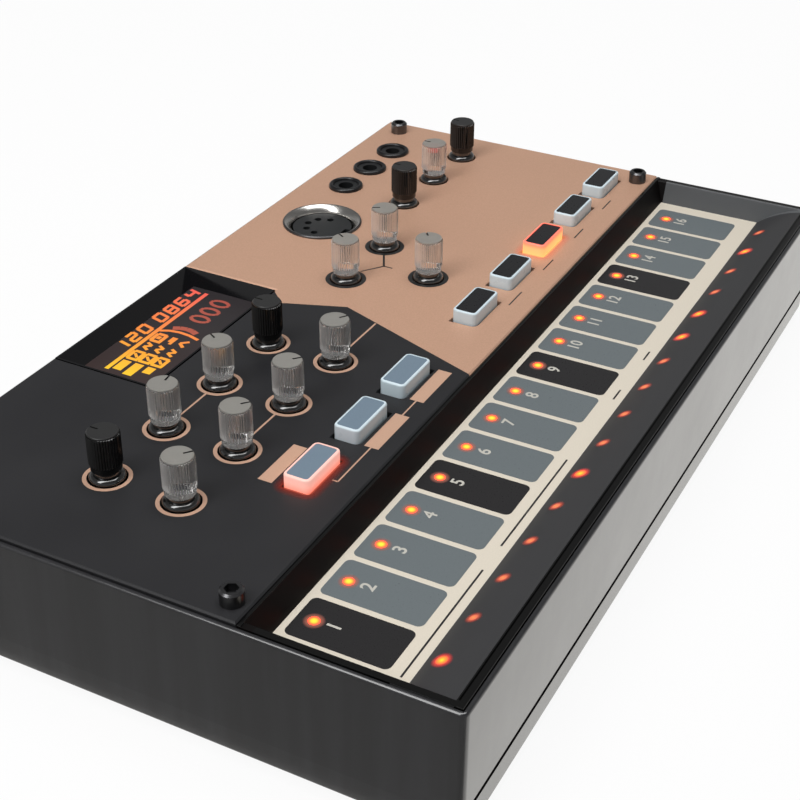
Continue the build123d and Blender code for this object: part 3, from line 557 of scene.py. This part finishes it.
button_salmon = milky_plastic(
    "button_salmon", (0.55, 0.4, 0.36),
    ((0.0, (1.0, 0.2, 0.11)), (0.45, (0.95, 0.36, 0.28)), (1.0, (0.7, 0.36, 0.3))), 0.9,
)
button_amber = milky_plastic(
    "button_amber", (0.4, 0.2, 0.15),
    ((0.0, (1.0, 0.5, 0.12)), (0.6, (1.0, 0.4, 0.12)), (1.0, (1.0, 0.1, 0.06))), 1.1,
)
salmon_spill = glowing(
    "salmon_spill", ((0.0, (0.9, 0.04, 0.015)), (1.0, (0.5, 0.02, 0.015))), 0.3,
    lambda finish: finish.beyond_button("button_edit"), faded=(0.0, 1.0, 0.8, 0.0),
)
amber_spill = glowing(
    "amber_spill", ((0.0, (1.0, 0.3, 0.18)), (1.0, (0.9, 0.26, 0.18))), 0.9,
    lambda finish: finish.beyond_button("button_repeat"), faded=(0.0, 1.0, 0.6, 0.0),
)
swing_glow = glowing(
    "swing_glow", ((0.0, (1.0, 0.3, 0.25)), (1.0, (0.85, 0.22, 0.2))), 0.45,
    lambda finish: finish.noise(0.002),
)

node_finishes = {
    "top_case": case_black,
    "bottom_case": case_lower,
    "battery_lid": case_lower,
    "rubber_feet": rubber_black,
    "faceplate": panel_paint(),
    "faceplate_screws": screw_steel,
    "case_screws": screw_steel,
    "touch_surround": strip_frame(),
    "touch_board": print_cream,
    "touch_lamps": lamp_orange,
    "main_board": circuit_green,
    "control_bodies": plated,
    "switch_bodies": dark_inside,
    "display_surround": gloss_black,
    "display_window": display_tint_and_glow(),
    "display_module": dark_inside,
    "din_shell": chrome,
    "din_insert": socket_black,
    "jack_sockets": socket_black,
    "jack_rings": ring_black,
    "power_inlet": socket_black,
    "power_button": knob_black,
    "battery_contacts": plated,
    "speaker": dark_inside,
}
family_finishes = {"knob": clear_knob, "collar": collar_black, "button": button_idle}
for node_name, node in nodes.items():
    finish = node_finishes.get(node_name) or family_finishes[node_name.partition("_")[0]]
    node.data.materials.clear()
    node.data.materials.append(finish)


# ================================================================ modelling helpers
# a length too small to matter, for picking faces and edges by their place
hair = 0.01 * MM


def start(primitive, **options):
    """Add a primitive with nothing else selected."""
    bpy.ops.object.select_all(action="DESELECT")
    primitive(**options)
    return bpy.context.object


def take(piece):
    """Select one piece and nothing else."""
    bpy.ops.object.select_all(action="DESELECT")
    piece.select_set(True)
    bpy.context.view_layer.objects.active = piece


def open_mesh(piece, kind="FACE"):
    """Go into edit mode on one piece with nothing selected."""
    take(piece)
    bpy.ops.object.mode_set(mode="EDIT")
    bpy.ops.mesh.select_mode(type=kind)
    bpy.ops.mesh.select_all(action="DESELECT")


def pick(kind, wanted):
    """Select the faces, edges or vertices that pass a test, and nothing else."""
    bpy.ops.mesh.select_mode(type=kind)
    bpy.ops.mesh.select_all(action="DESELECT")
    mesh = bmesh.from_edit_mesh(bpy.context.object.data)
    for element in {"VERT": mesh.verts, "EDGE": mesh.edges, "FACE": mesh.faces}[kind]:
        if wanted(element):
            element.select_set(True)
    mesh.select_flush_mode()
    bmesh.update_edit_mesh(bpy.context.object.data)


def close_mesh():
    bpy.ops.object.mode_set(mode="OBJECT")


def pick_all():
    bpy.ops.mesh.select_all(action="SELECT")


def is_upright(edge):
    return abs(edge.verts[0].co.z - edge.verts[1].co.z) > 0.1 * MM


def raise_by(distance):
    """Extrude what is picked straight up."""
    bpy.ops.mesh.extrude_region_move(TRANSFORM_OT_translate={"value": (0, 0, distance)})


def widen(share):
    """Scale what is picked about the Z axis, and leave its height."""
    bpy.ops.transform.resize(value=(share, share, 1), center_override=(0, 0, 0))


def settle(piece):
    """Put a piece's place into its mesh, so that its object sits at the origin."""
    take(piece)
    bpy.ops.object.transform_apply(location=True, rotation=True, scale=True)


def mount(piece, name, body, slot, *finishes):
    """Name a finished piece, give it its finishes and fix it to its body."""
    settle(piece)
    piece.name = name
    piece.data.name = name
    piece.data.materials.clear()
    for finish in finishes:
        piece.data.materials.append(finish)
    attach(piece, body)
    return piece


def copy_to(pattern, x, y):
    """A copy of a pattern piece with its own mesh, at (x, y)."""
    piece = pattern.copy()
    piece.data = pattern.data.copy()
    bpy.context.scene.collection.objects.link(piece)
    piece.location = (x, y, 0)
    return piece


def paint(piece, which):
    """Give every face the number of its finish."""
    for face in piece.data.polygons:
        face.material_index = which(face)


def merge(pieces):
    """Join several pieces into the first."""
    bpy.ops.object.select_all(action="DESELECT")
    for piece in pieces:
        piece.select_set(True)
    bpy.context.view_layer.objects.active = pieces[0]
    bpy.ops.object.join()
    return pieces[0]


def discard(pattern):
    bpy.data.objects.remove(pattern)


def turned(profile, sides):
    """Closed ring about the Z axis.

    Its section is a list of (radius, height over the panel), in millimetres.
    """
    radius, height = profile[0]
    ring = start(
        bpy.ops.mesh.primitive_circle_add, vertices=sides, radius=radius * MM,
        location=(0, 0, panel_top + height * MM),
    )
    settle(ring)
    open_mesh(ring, "EDGE")
    pick_all()
    for next_radius, next_height in profile[1:] + profile[:1]:
        raise_by((next_height - height) * MM)
        widen(next_radius / radius)
        radius, height = next_radius, next_height
    pick_all()
    bpy.ops.mesh.remove_doubles(threshold=0.001 * MM)
    bpy.ops.mesh.normals_make_consistent(inside=False)
    close_mesh()
    return ring


def smooth(piece, angle=35):
    """Shade edges flatter than an angle in degrees as rounded."""
    take(piece)
    bpy.ops.object.shade_smooth_by_angle(angle=math.radians(angle))


# ================================================================ knobs
knob_radius = 3.0 * MM
knob_waist = 2.78 * MM
knob_seat = panel_top + 2.0 * MM
knob_crown = panel_top + 9.6 * MM
crown_chamfer = 0.1 * MM
crown_taper = 0.965
seat_chamfer = 0.08 * MM
seat_taper = 0.97

rib_count = 36
rib_foot = knob_seat + 1.3 * MM
rib_top = knob_crown - 0.45 * MM
rib_chamfer = 0.12 * MM

collar_radius = 3.3 * MM
collar_lip = panel_top + 0.1 * MM
collar_foot = panel_top - 2.3 * MM
shoulder_rise = 1.0 * MM
shoulder_turn = math.radians(80)
neck_radius = 2.35 * MM
neck_top = knob_seat - 0.04 * MM

pointer_place = 2.1 * MM
pointer_size = (2.2 * MM, 0.38 * MM, 0.6 * MM)


def rib_side(face):
    """Frosted crown 1, one flank of each rib 2 with a painted sheen, everything else 0."""
    if face.center.z > rib_top + 0.2 * MM:
        return 1
    if abs(face.normal.z) > 0.3 or face.center.z < rib_foot:
        return 0
    outward = face.center.xy.normalized()
    return 2 if outward.cross(face.normal.xy.normalized()) > 0.1 else 0


def knob_pattern():
    """Ribbed knob on a smooth foot, with a flat round top, about the Z axis."""
    knob = start(
        bpy.ops.mesh.primitive_cylinder_add, vertices=2 * rib_count, radius=knob_radius,
        depth=rib_top - rib_foot, location=(0, 0, (rib_top + rib_foot) / 2),
    )
    settle(knob)
    open_mesh(knob)
    step = math.pi / rib_count
    ridge = (knob_waist + knob_radius) / 2
    pick("VERT", lambda v: round(math.atan2(v.co.x, v.co.y) / step) % 2 == 1)
    widen(knob_waist / knob_radius)
    for direction, edge in ((1, rib_top), (-1, rib_foot)):
        pick("FACE", lambda f: abs(f.calc_center_median().z - edge) < hair)
        raise_by(direction * rib_chamfer)
        pick("VERT", lambda v: direction * (v.co.z - edge) > hair and v.co.xy.length > ridge)
        widen(knob_waist / knob_radius)
    pick("FACE", lambda f: f.calc_center_median().z > rib_top + hair and f.normal.z > 0.9)
    raise_by(knob_crown - rib_top - rib_chamfer - crown_chamfer)
    raise_by(crown_chamfer)
    widen(crown_taper)
    pick("FACE", lambda f: f.normal.z < -0.9 and f.calc_center_median().z < rib_foot)
    raise_by(knob_seat - rib_foot + rib_chamfer + seat_chamfer)
    raise_by(-seat_chamfer)
    widen(seat_taper)
    close_mesh()
    paint(knob, rib_side)
    return knob


def collar_pattern():
    """Black domed collar and neck that fill the panel's hole under the knob."""
    collar = start(
        bpy.ops.mesh.primitive_cylinder_add, vertices=64, radius=collar_radius,
        depth=collar_lip - collar_foot, location=(0, 0, (collar_lip + collar_foot) / 2),
    )
    settle(collar)
    open_mesh(collar)
    pick("FACE", lambda f: f.normal.z > 0.9)
    steps = 10
    step = shoulder_turn / steps
    radius = collar_radius
    for i in range(1, steps + 1):
        turn = i * step
        wanted = neck_radius + (collar_radius - neck_radius) * math.cos(turn)
        raise_by(shoulder_rise * (math.sin(turn) - math.sin(turn - step)))
        widen(wanted / radius)
        radius = wanted
    # a flat ledge joins the rounded shoulder to the neck
    raise_by(0.0)
    widen(neck_radius / radius)
    raise_by(neck_top - collar_lip - shoulder_rise * math.sin(shoulder_turn))
    close_mesh()
    return collar


knob_model = knob_pattern()
collar_model = collar_pattern()
black_knobs = ("knob_part", "knob_select", "knob_tempo", "knob_volume")
for body, joint in knob_joints.items():
    x, y, _ = joint["pos_m"]
    # at the joint's lower limit the pointer stands at -60 degrees
    pointer = math.radians(-60 - joint["range_deg"][0])
    knob = copy_to(knob_model, x, y)
    settle(knob)
    groove = start(
        bpy.ops.mesh.primitive_cube_add, size=1.0,
        location=(
            x + pointer_place * math.cos(pointer), y + pointer_place * math.sin(pointer), knob_crown
        ),
        rotation=(0, 0, pointer), scale=pointer_size,
    )
    cut = knob.modifiers.new("groove", "BOOLEAN")
    cut.operation = "DIFFERENCE"
    cut.object = groove
    cut.material_mode = "TRANSFER"
    groove.data.materials.append(print_black)
    black = body in black_knobs
    for finish in (knob_black,) * 3 if black else (clear_knob, frosted_knob, painted_rib_sheen):
        knob.data.materials.append(finish)
    bpy.context.view_layer.objects.active = knob
    bpy.ops.object.modifier_apply(modifier=cut.name)
    discard(groove)
    knob.name = body + "_ribbed"
    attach(knob, body)
    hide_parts(body)
    collar_node = body.replace("knob", "collar")
    collar = mount(
        copy_to(collar_model, x, y), collar_node + "_domed", body, "collar_black", collar_black
    )
    smooth(collar)
    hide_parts(collar_node)
discard(knob_model)
discard(collar_model)

# ================================================================ push buttons
button_corner = 1.1 * MM
button_rim = 0.35 * MM
inlay_border = 0.15 * MM
inlay_depth = 0.1 * MM


def button_pattern():
    """Milky button with rounded corners and a sunk inlay, about the Z axis."""
    button = start(
        bpy.ops.mesh.primitive_cube_add, size=1.0,
        location=(0, 0, (button_crown + button_foot) / 2),
        scale=(button_length, button_depth, button_crown - button_foot),
    )
    settle(button)
    open_mesh(button)
    pick("EDGE", is_upright)
    bpy.ops.mesh.bevel(offset=button_corner, segments=6)
    pick("EDGE", lambda e: min(v.co.z for v in e.verts) > button_crown - hair)
    bpy.ops.mesh.bevel(offset=button_rim, segments=4)
    pick("FACE", lambda f: f.normal.z > 0.99)
    bpy.ops.mesh.inset(thickness=inlay_border)
    raise_by(-inlay_depth)
    close_mesh()
    return button


button_model = button_pattern()
lit_buttons = {"button_edit": button_salmon, "button_repeat": button_amber}
dark_inlays = ("button_jump", "button_mute", "button_repeat", "button_play", "button_record")
for body in frame["bodies"]:
    if not body.startswith("button_"):
        continue
    centre = centre_of(body)
    button = mount(
        copy_to(button_model, centre.x, centre.y), body + "_cap", body, "button_milky",
        lit_buttons.get(body, button_idle),
        inlay_black if body in dark_inlays else inlay_grey,
    )
    # the inlay is the only face in the middle over the panel
    paint(button, lambda f: (f.center - centre).xy.length < 0.1 * MM and f.center.z > panel_top)
    smooth(button)
    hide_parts(body)
discard(button_model)

# ================================================================ print on the panel
print_height = 0.02 * MM
print_lift = 0.005 * MM
ring_radius = 4.4 * MM
wide_ring = 0.92 * MM
narrow_ring = 0.75 * MM


def thicken(piece):
    """Give a flat piece the thickness of print."""
    open_mesh(piece)
    pick_all()
    raise_by(print_height)
    close_mesh()


def keep_border(piece, width):
    """Cut the middle out of a flat piece."""
    open_mesh(piece)
    pick_all()
    bpy.ops.mesh.inset(thickness=width)
    bpy.ops.mesh.delete(type="FACE")
    close_mesh()


def print_patch(name, x0, x1, y0, y1, finish, z=panel_top, corner=0.0):
    """Flat printed patch between two corners, in millimetres from the left and front edges."""
    low = from_edges(x0, y0)
    high = from_edges(x1, y1)
    patch = start(
        bpy.ops.mesh.primitive_plane_add, size=1.0,
        location=((low[0] + high[0]) / 2, (low[1] + high[1]) / 2, z + print_lift),
    )
    patch.scale = (high[0] - low[0], high[1] - low[1], 1)
    settle(patch)
    if corner:
        open_mesh(patch)
        pick_all()
        bpy.ops.mesh.bevel(offset=corner, segments=5, affect="VERTICES")
        close_mesh()
    thicken(patch)
    mount(patch, name, CASE, "panel_paint", finish)


def print_strokes(name, lines, finish, slot="panel_paint", z=panel_top):
    """Straight strokes in one piece, each (x0, y0, x1, y1, width) in millimetres from the edges."""
    parts = []
    for x0, y0, x1, y1, width in lines:
        low, high = from_edges(x0, y0), from_edges(x1, y1)
        stroke = start(
            bpy.ops.mesh.primitive_plane_add, size=1.0,
            location=((low[0] + high[0]) / 2, (low[1] + high[1]) / 2, z + print_lift),
            rotation=(0, 0, math.atan2(y1 - y0, x1 - x0)),
        )
        stroke.scale = (math.hypot(x1 - x0, y1 - y0) * MM, width * MM, 1)
        settle(stroke)
        parts.append(stroke)
    piece = merge(parts)
    thicken(piece)
    mount(piece, name, CASE, slot, finish)


def print_disc(name, x, y, radius, finish, slot, z):
    """Flat printed disc. Its place and radius are in metres."""
    disc = start(
        bpy.ops.mesh.primitive_circle_add, vertices=32, radius=radius, fill_type="NGON",
        location=(x, y, z),
    )
    settle(disc)
    thicken(disc)
    mount(disc, name, CASE, slot, finish)


def print_ring(name, x, y, width, finish):
    """Printed ring round a knob. Its place and width are in metres."""
    ring = start(
        bpy.ops.mesh.primitive_circle_add, vertices=72, radius=ring_radius, fill_type="NGON",
        location=(x, y, panel_top + print_lift),
    )
    settle(ring)
    keep_border(ring, width)
    thicken(ring)
    mount(ring, name, CASE, "panel_paint", finish)


knobs_without_ring = ("knob_tempo", "knob_swing", "knob_volume")
knobs_on_copper = ("knob_decay", "knob_body", "knob_tune")
for body, joint in knob_joints.items():
    x, y, _ = joint["pos_m"]
    if body in knobs_on_copper:
        print_ring(body.replace("knob", "ring"), x, y, wide_ring, print_black)
    elif body not in knobs_without_ring:
        print_ring(body.replace("knob", "ring"), x, y, narrow_ring, print_copper)

# bare plates and lines, in millimetres
thin_line = 0.3
fork_line = 0.35
knob_line = 0.4
plate_front = 42.7
plate_rear = 45.6
link_row = 44.2
dash_row = 44.3
print_patch("plate_edit", 35.0, 47.2, 54.1, 56.9, print_copper)
print_patch("plate_step", 52.8, 65.0, plate_front, plate_rear, print_copper)
print_patch("plate_layer", 70.6, 82.9, plate_front, plate_rear, print_copper)
print_strokes(
    "line_edit_step",
    ((40.8, 45.3, 40.8, link_row, thin_line), (40.8, link_row, 52.8, link_row, thin_line),
     (65.0, link_row, 70.6, link_row, thin_line)),
    print_copper,
)
print_strokes(
    "line_knobs",
    ((45.2, 80.4, 54.0, 80.4, knob_line), (45.2, 65.1, 54.0, 65.1, knob_line),
     (80.4, 65.1, 93.2, 65.1, knob_line)),
    print_copper,
)
print_strokes(
    "line_fork",
    ((116.6, 75.7, 121.6, 78.4, 0.45), (116.6, 75.7, 112.0, 79.0, fork_line),
     (116.6, 75.9, 116.6, 73.6, fork_line)),
    print_black,
)
print_strokes(
    "line_dashes",
    [(x0, dash_row, x1, dash_row, thin_line)
     for x0, x1 in ((113.4, 120.0), (131.6, 137.2), (149.6, 155.0), (167.2, 172.6))],
    print_black,
)

halo_width = 2.4 * MM
for body, spill in (("button_edit", salmon_spill), ("button_repeat", amber_spill)):
    centre = centre_of(body)
    halo = start(
        bpy.ops.mesh.primitive_plane_add, size=1.0,
        location=(centre.x, centre.y, panel_top + 1.5 * print_height),
    )
    halo.scale = (button_length + 2 * halo_width, button_depth + 2 * halo_width, 1)
    settle(halo)
    keep_border(halo, halo_width - print_height)
    mount(halo, body + "_spill", CASE, "panel_paint", spill)

# ================================================================ touch keys
number_row = 28.9
number_size = 3.6 * MM
number_weight = 0.06 * MM
key_corner = 1.2 * MM
board_line_front = 14.25
board_line_rear = 14.6
lamp_glow_height = board_top + 1.5 * print_height
number_height = board_top + 1.7 * print_height
lens_height = board_top + 2.7 * print_height


def key_number(text, x):
    """A key's number as a flat mesh, at a place in millimetres from the left edge."""
    number = start(bpy.ops.object.text_add)
    number.data.body = text
    number.data.size = number_size
    number.data.align_x = "CENTER"
    number.data.align_y = "CENTER"
    number.data.extrude = print_height / 2
    number.data.offset = number_weight
    number.location = (*from_edges(x, number_row), number_height)
    bpy.ops.object.convert(target="MESH")
    return number


def leak_patch(x, length, depth):
    """A patch laid on the front slope, to carry a lamp's light."""
    leak = start(
        bpy.ops.mesh.primitive_grid_add, x_subdivisions=4, y_subdivisions=10, size=1.0,
        location=(x, first_leak[1], panel_top),
    )
    leak.scale = (length * MM, depth * MM, 1)
    settle(leak)
    fit = leak.modifiers.new("fit", "SHRINKWRAP")
    fit.target = nodes["touch_surround"]
    fit.wrap_method = "PROJECT"
    fit.use_project_z = True
    fit.use_negative_direction = True
    fit.use_positive_direction = False
    fit.offset = 1.5 * print_height
    bpy.ops.object.modifier_apply(modifier=fit.name)
    return leak


for i in range(key_count):
    x = first_key + key_pitch * i
    first_of_bar = i % 4 == 0
    print_patch(
        f"key_{i + 1}", x - key_width / 2, x + key_width / 2, key_front, key_rear,
        key_black if first_of_bar else key_grey, board_top, key_corner,
    )
    mount(key_number(str(i + 1), x), f"number_{i + 1}", CASE, "board_cream", numeral_cream)
    lamp = (first_lamp[0] + i * lamp_pitch * MM, first_lamp[1])
    # a disc of painted lamp glow round each lens
    print_disc(f"painted_lamp_glow_{i + 1}", *lamp, lamp_glow_radius * MM, painted_lamp_glow, "lamp_orange", lamp_glow_height)
    print_disc(f"lamp_lens_{i + 1}", *lamp, lens_radius * MM, lamp_orange, "lamp_orange", lens_height)
    bright = i in bright_leaks
    leak = leak_patch(first_leak[0] + i * key_pitch * MM, *(bright_patch if bright else faint_patch))
    mount(leak, f"lamp_leak_{i + 1}", CASE, "lamp_orange", leak_bright if bright else leak_faint)

# short black lines along the front of the touch board
for i, (x0, x1) in enumerate(((7.5, 36.8), (44.1, 73.4), (97.1, 101.1), (114.3, 118.0))):
    print_patch(
        f"board_line_{i + 1}", x0, x1, board_line_front, board_line_rear, key_black, board_top
    )

# ================================================================ display
digit_width = 2.3
digit_height = 2.8
digit_slant = 0.25
digit_stroke = 0.75
zero_width = 2.4
zero_height = 4.3
zero_stroke = 0.8
# the ends of a digit's segments, as shares of its width and height
segments = {
    "top": (0, 1, 1, 1), "upper_right": (1, 0.5, 1, 1), "lower_right": (1, 0, 1, 0.5),
    "foot": (0, 0, 1, 0), "lower_left": (0, 0, 0, 0.5), "upper_left": (0, 0.5, 0, 1),
    "middle": (0, 0.5, 1, 0.5),
}
unlit = {
    0: ("middle",), 1: ("top", "foot", "lower_left", "upper_left", "middle"),
    2: ("lower_right", "upper_left"), 4: ("top", "foot", "lower_left"), 6: ("upper_right",), 8: (),
}


def digit(number, x, y):
    """The strokes of a slanted seven-segment digit, from its foot at the left."""
    lean = digit_slant * digit_height
    lines = []
    for name, (u0, v0, u1, v1) in segments.items():
        if name not in unlit[number]:
            lines.append((
                x + u0 * digit_width + v0 * lean, y + v0 * digit_height,
                x + u1 * digit_width + v1 * lean, y + v1 * digit_height, digit_stroke,
            ))
    return lines


def joined(points, stroke):
    """Strokes along a line of points."""
    return [(*a, *b, stroke) for a, b in zip(points, points[1:])]


def level_bar(x0, x1, y, stroke):
    """One stroke along the display."""
    return [(x0, y, x1, y, stroke)]


def box_round(x0, y0, x1, y1, overlap, stroke):
    """A box drawn as one line, which runs past its start by an overlap."""
    return joined([(x0, y0), (x1, y0), (x1, y1), (x0, y1), (x0, y0 - overlap)], stroke)


def dim_zero(x, y):
    """A dimly lit zero about its middle, drawn as an oval."""
    steps = 12
    turns = [2 * math.pi * i / steps for i in range(steps + 1)]
    oval = [
        (x + zero_width / 2 * math.cos(turn), y + zero_height / 2 * math.sin(turn)) for turn in turns
    ]
    return joined(oval, zero_stroke)


# the long bar, with a row of digits over it
display_lines = level_bar(57.2, 92.9, 106.45, 0.95)
for number, x in zip((1, 2, 0, 0, 8, 6, 4), (64.4, 68.5, 72.4, 78.0, 81.9, 85.8, 89.8)):
    display_lines += digit(number, x, 107.7)

# three rows at the left: a broad bar, a box with a slash, and a wave
display_lines += level_bar(57.9, 61.7, 104.5, 2.0)
display_lines += level_bar(57.1, 61.7, 101.5, 2.1)
display_lines += level_bar(59.3, 61.7, 98.5, 1.9)
for y in (104.3, 101.4, 98.4):
    display_lines += box_round(62.7, y - 1.15, 65.7, y + 1.2, 0.35, 0.8)
    display_lines += joined([(63.6, y - 0.6), (64.8, y + 0.6)], 0.6)
    display_lines += joined([(67.0, y - 0.7), (67.9, y + 0.8), (68.8, y - 0.6), (69.6, y + 0.9)], 0.65)

# the column beside them: a box, two bars and a wedge, and then a bracket
display_lines += box_round(70.7, 103.3, 73.6, 105.4, 0.4, 0.85)
display_lines += level_bar(71.7, 72.8, 104.4, 0.9)
display_lines += level_bar(71.0, 73.8, 101.0, 0.7)
display_lines += level_bar(71.8, 73.8, 101.6, 0.7)
display_lines += joined([(71.2, 97.8), (72.4, 99.3), (73.7, 97.8)], 0.7)
bracket = [(74.8, 106.0), (75.7, 104.2), (76.1, 101.9), (75.9, 99.3), (75.2, 96.8)]
display_lines += joined(bracket, 0.75)
print_strokes("display_figures", display_lines, display_lit, "display_glow", window_top)

# a dim bracket and three dim zeros
dim_bracket = [(76.9, 104.2), (77.6, 102.9), (77.9, 101.4), (77.7, 99.9), (77.1, 98.5)]
dim_lines = joined(dim_bracket, 1.4)
for x in (82.8, 86.5, 90.3):
    dim_lines += dim_zero(x, 101.4)
print_strokes("display_count", dim_lines, display_dim, "display_glow", window_top)

# ================================================================ light under the swing knob's crown
glow_radius = 1.3 * MM
glow_depth = 0.8 * MM
glow_rounding = 0.3 * MM
glow_top = knob_crown - 1.2 * MM
swing_x, swing_y, _ = knob_joints["knob_swing"]["pos_m"]
glow_lens = start(
    bpy.ops.mesh.primitive_cylinder_add, vertices=24, radius=glow_radius, depth=glow_depth,
    location=(swing_x, swing_y, glow_top - glow_depth / 2),
)
settle(glow_lens)
open_mesh(glow_lens)
pick("EDGE", lambda e: min(v.co.z for v in e.verts) > glow_top - 0.1 * MM)
bpy.ops.mesh.bevel(offset=glow_rounding, segments=3)
close_mesh()
smooth(mount(glow_lens, "swing_lens", "knob_swing", "lamp_orange", swing_glow))

# ================================================================ socket trim
# the rim's dark outer side, its rolled edge, the funnel inside it, and the tube down to the pins
din_centre = centre_of("din_shell")
dark_side = 8.7 * MM
din_ring = turned(
    [(9.1, 0.0), (9.1, 0.3), (9.0, 0.5), (8.8, 0.56), (8.6, 0.5),
     (8.25, 0.25), (7.8, -0.15), (7.4, -0.65), (7.2, -1.1), (7.2, -1.6),
     (7.75, -1.6), (7.75, -8.5), (8.2, -8.5), (8.2, 0.0)],
    96,
)
din_ring.location = (din_centre.x, din_centre.y, 0)
smooth(mount(din_ring, "din_rim", CASE, "socket_chrome", chrome, screw_steel), 50)
paint(din_ring, lambda face: (face.center.xy - din_centre.xy).length > dark_side)
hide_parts("din_shell")

# three ring nuts with a rounded top
low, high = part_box("jack_rings")
nut_y = (low.y + high.y) / 2
nut_radius = (high.y - low.y) / 2
nut_model = turned(
    [(4.1, 0.0), (4.1, 0.45), (4.0, 0.68), (3.75, 0.86),
     (3.45, 0.9), (3.2, 0.78), (3.05, 0.5), (3.05, 0.0)],
    64,
)
first_nut = low.x + nut_radius
last_nut = high.x - nut_radius
nut_places = (first_nut, (first_nut + last_nut) / 2, last_nut)
nuts = merge([copy_to(nut_model, x, nut_y) for x in nut_places])
discard(nut_model)
smooth(mount(nuts, "jack_nuts", CASE, "ring_black", ring_black), 50)
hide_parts("jack_rings")

# ================================================================ flush left wall
wall_strip = start(
    bpy.ops.mesh.primitive_cube_add, size=1.0,
    location=(
        case_left + groove_depth / 2, (cad_low.y + cad_high.y) / 2, (groove_foot + groove_top) / 2
    ),
    scale=(groove_depth, cad_high.y - cad_low.y - 2 * groove_depth, groove_top - groove_foot),
)
settle(wall_strip)
open_mesh(wall_strip)
pick("EDGE", lambda e: is_upright(e) and e.verts[0].co.x > case_left + 0.1 * MM)
bpy.ops.mesh.bevel(offset=groove_depth / 2, segments=3)
close_mesh()
mount(wall_strip, "left_wall_strip", CASE, "case_black", case_black)

# ================================================================ camera
camera_place = (-0.24111, -0.12123, 0.1808)
yaw = math.radians(27.36)
pitch = math.radians(32.13)
roll = math.radians(-0.516)
camera_data = bpy.data.cameras.new("camera")
camera_data.lens = 68.07
camera_data.sensor_width = 36.0
camera_data.clip_start = 0.01
camera = bpy.data.objects.new("camera", camera_data)
bpy.context.scene.collection.objects.link(camera)
forward = Vector((math.cos(yaw) * math.cos(pitch), math.sin(yaw) * math.cos(pitch), -math.sin(pitch)))
across = forward.cross(Vector((0, 0, 1))).normalized()
down = forward.cross(across)
tilted_across = math.cos(roll) * across + math.sin(roll) * down
tilted_down = -math.sin(roll) * across + math.cos(roll) * down
turn = Matrix((tilted_across, -tilted_down, -forward)).transposed()
camera.matrix_world = Matrix.Translation(camera_place) @ turn.to_4x4()
bpy.context.scene.camera = camera

# ================================================================ floor and light
def floor_white():
    """White floor that keeps the machine's shadow.

    The camera, mirrors and clear pieces see it as white. Mirrors see a darker floor to the left of
    the case, so that the left wall stays deep.
    """
    shadow_share = 0.07
    left_level = 0.26
    fade = 4 * MM
    finish = Finish("floor_white", Roughness=0.9)
    finish.set("Base Color", (0.85, 0.85, 0.85))
    seen_rays = finish.node("ShaderNodeLightPath", out="Is Camera Ray")
    paths = seen_rays.socket.node.outputs
    mirrored = Signal(finish.tree, paths["Is Glossy Ray"])
    through = Signal(finish.tree, paths["Is Transmission Ray"])
    x, _, _ = finish.axes()
    level = finish.spread(x, case_left - fade, case_left, left_level, 1.0)
    mirror_image = finish.mix(level, (0.0, 0.0, 0.0), (1.0, 0.985, 0.95))
    shown = finish.mix(mirrored, (1.0, 1.0, 1.0), mirror_image)
    white = finish.node("ShaderNodeEmission", Color=shown, Strength=1.0)
    blend = finish.tree.nodes.new("ShaderNodeMixShader")
    seen = seen_rays * (1.0 - shadow_share) + mirrored + through
    plug(finish.tree, blend.inputs[0], seen.math("MINIMUM", seen, 1.0))
    finish.tree.links.new(finish.shader.outputs[0], blend.inputs[1])
    plug(finish.tree, blend.inputs[2], white)
    output = finish.tree.nodes["Material Output"]
    finish.tree.links.new(blend.outputs[0], output.inputs[0])
    return finish.material


def studio_world():
    """Plain sky that is brighter near the horizon than overhead."""
    world = bpy.data.worlds.new("studio")
    world.use_nodes = True
    sky = world.node_tree
    direction = sky.nodes.new("ShaderNodeTexCoord").outputs["Generated"]
    split = sky.nodes.new("ShaderNodeSeparateXYZ")
    sky.links.new(direction, split.inputs[0])
    level = sky.nodes.new("ShaderNodeMapRange")
    for socket, value in (("From Min", 0.1), ("From Max", 0.5), ("To Min", 0.42), ("To Max", 0.15)):
        level.inputs[socket].default_value = value
    sky.links.new(split.outputs["Z"], level.inputs["Value"])
    sky.links.new(level.outputs[0], sky.nodes["Background"].inputs["Strength"])
    sky.nodes["Background"].inputs["Color"].default_value = (1.0, 1.0, 1.0, 1.0)
    return world


def softbox(name, place, aim, size, power):
    """Rectangular lamp that points at a place."""
    lamp = bpy.data.lights.new(name, "AREA")
    lamp.shape = "RECTANGLE"
    lamp.size, lamp.size_y = size
    lamp.energy = power
    holder = bpy.data.objects.new(name, lamp)
    bpy.context.scene.collection.objects.link(holder)
    holder.location = place
    holder.rotation_euler = (Vector(aim) - Vector(place)).to_track_quat("-Z", "Y").to_euler()


floor = start(bpy.ops.mesh.primitive_plane_add, size=8.0, location=(0, 0, 0))
floor.name = "floor"
floor.data.materials.append(floor_white())
bpy.context.scene.world = studio_world()
softbox("side_light", (-0.42, 0.17, 0.72), (-0.02, 0.02, 0.02), (0.3, 0.8), 4.5)
softbox("top_light", (0.1, -0.1, 0.9), (0, 0, 0.02), (0.5, 0.5), 3.5)

bpy.context.scene.view_settings.view_transform = "Standard"
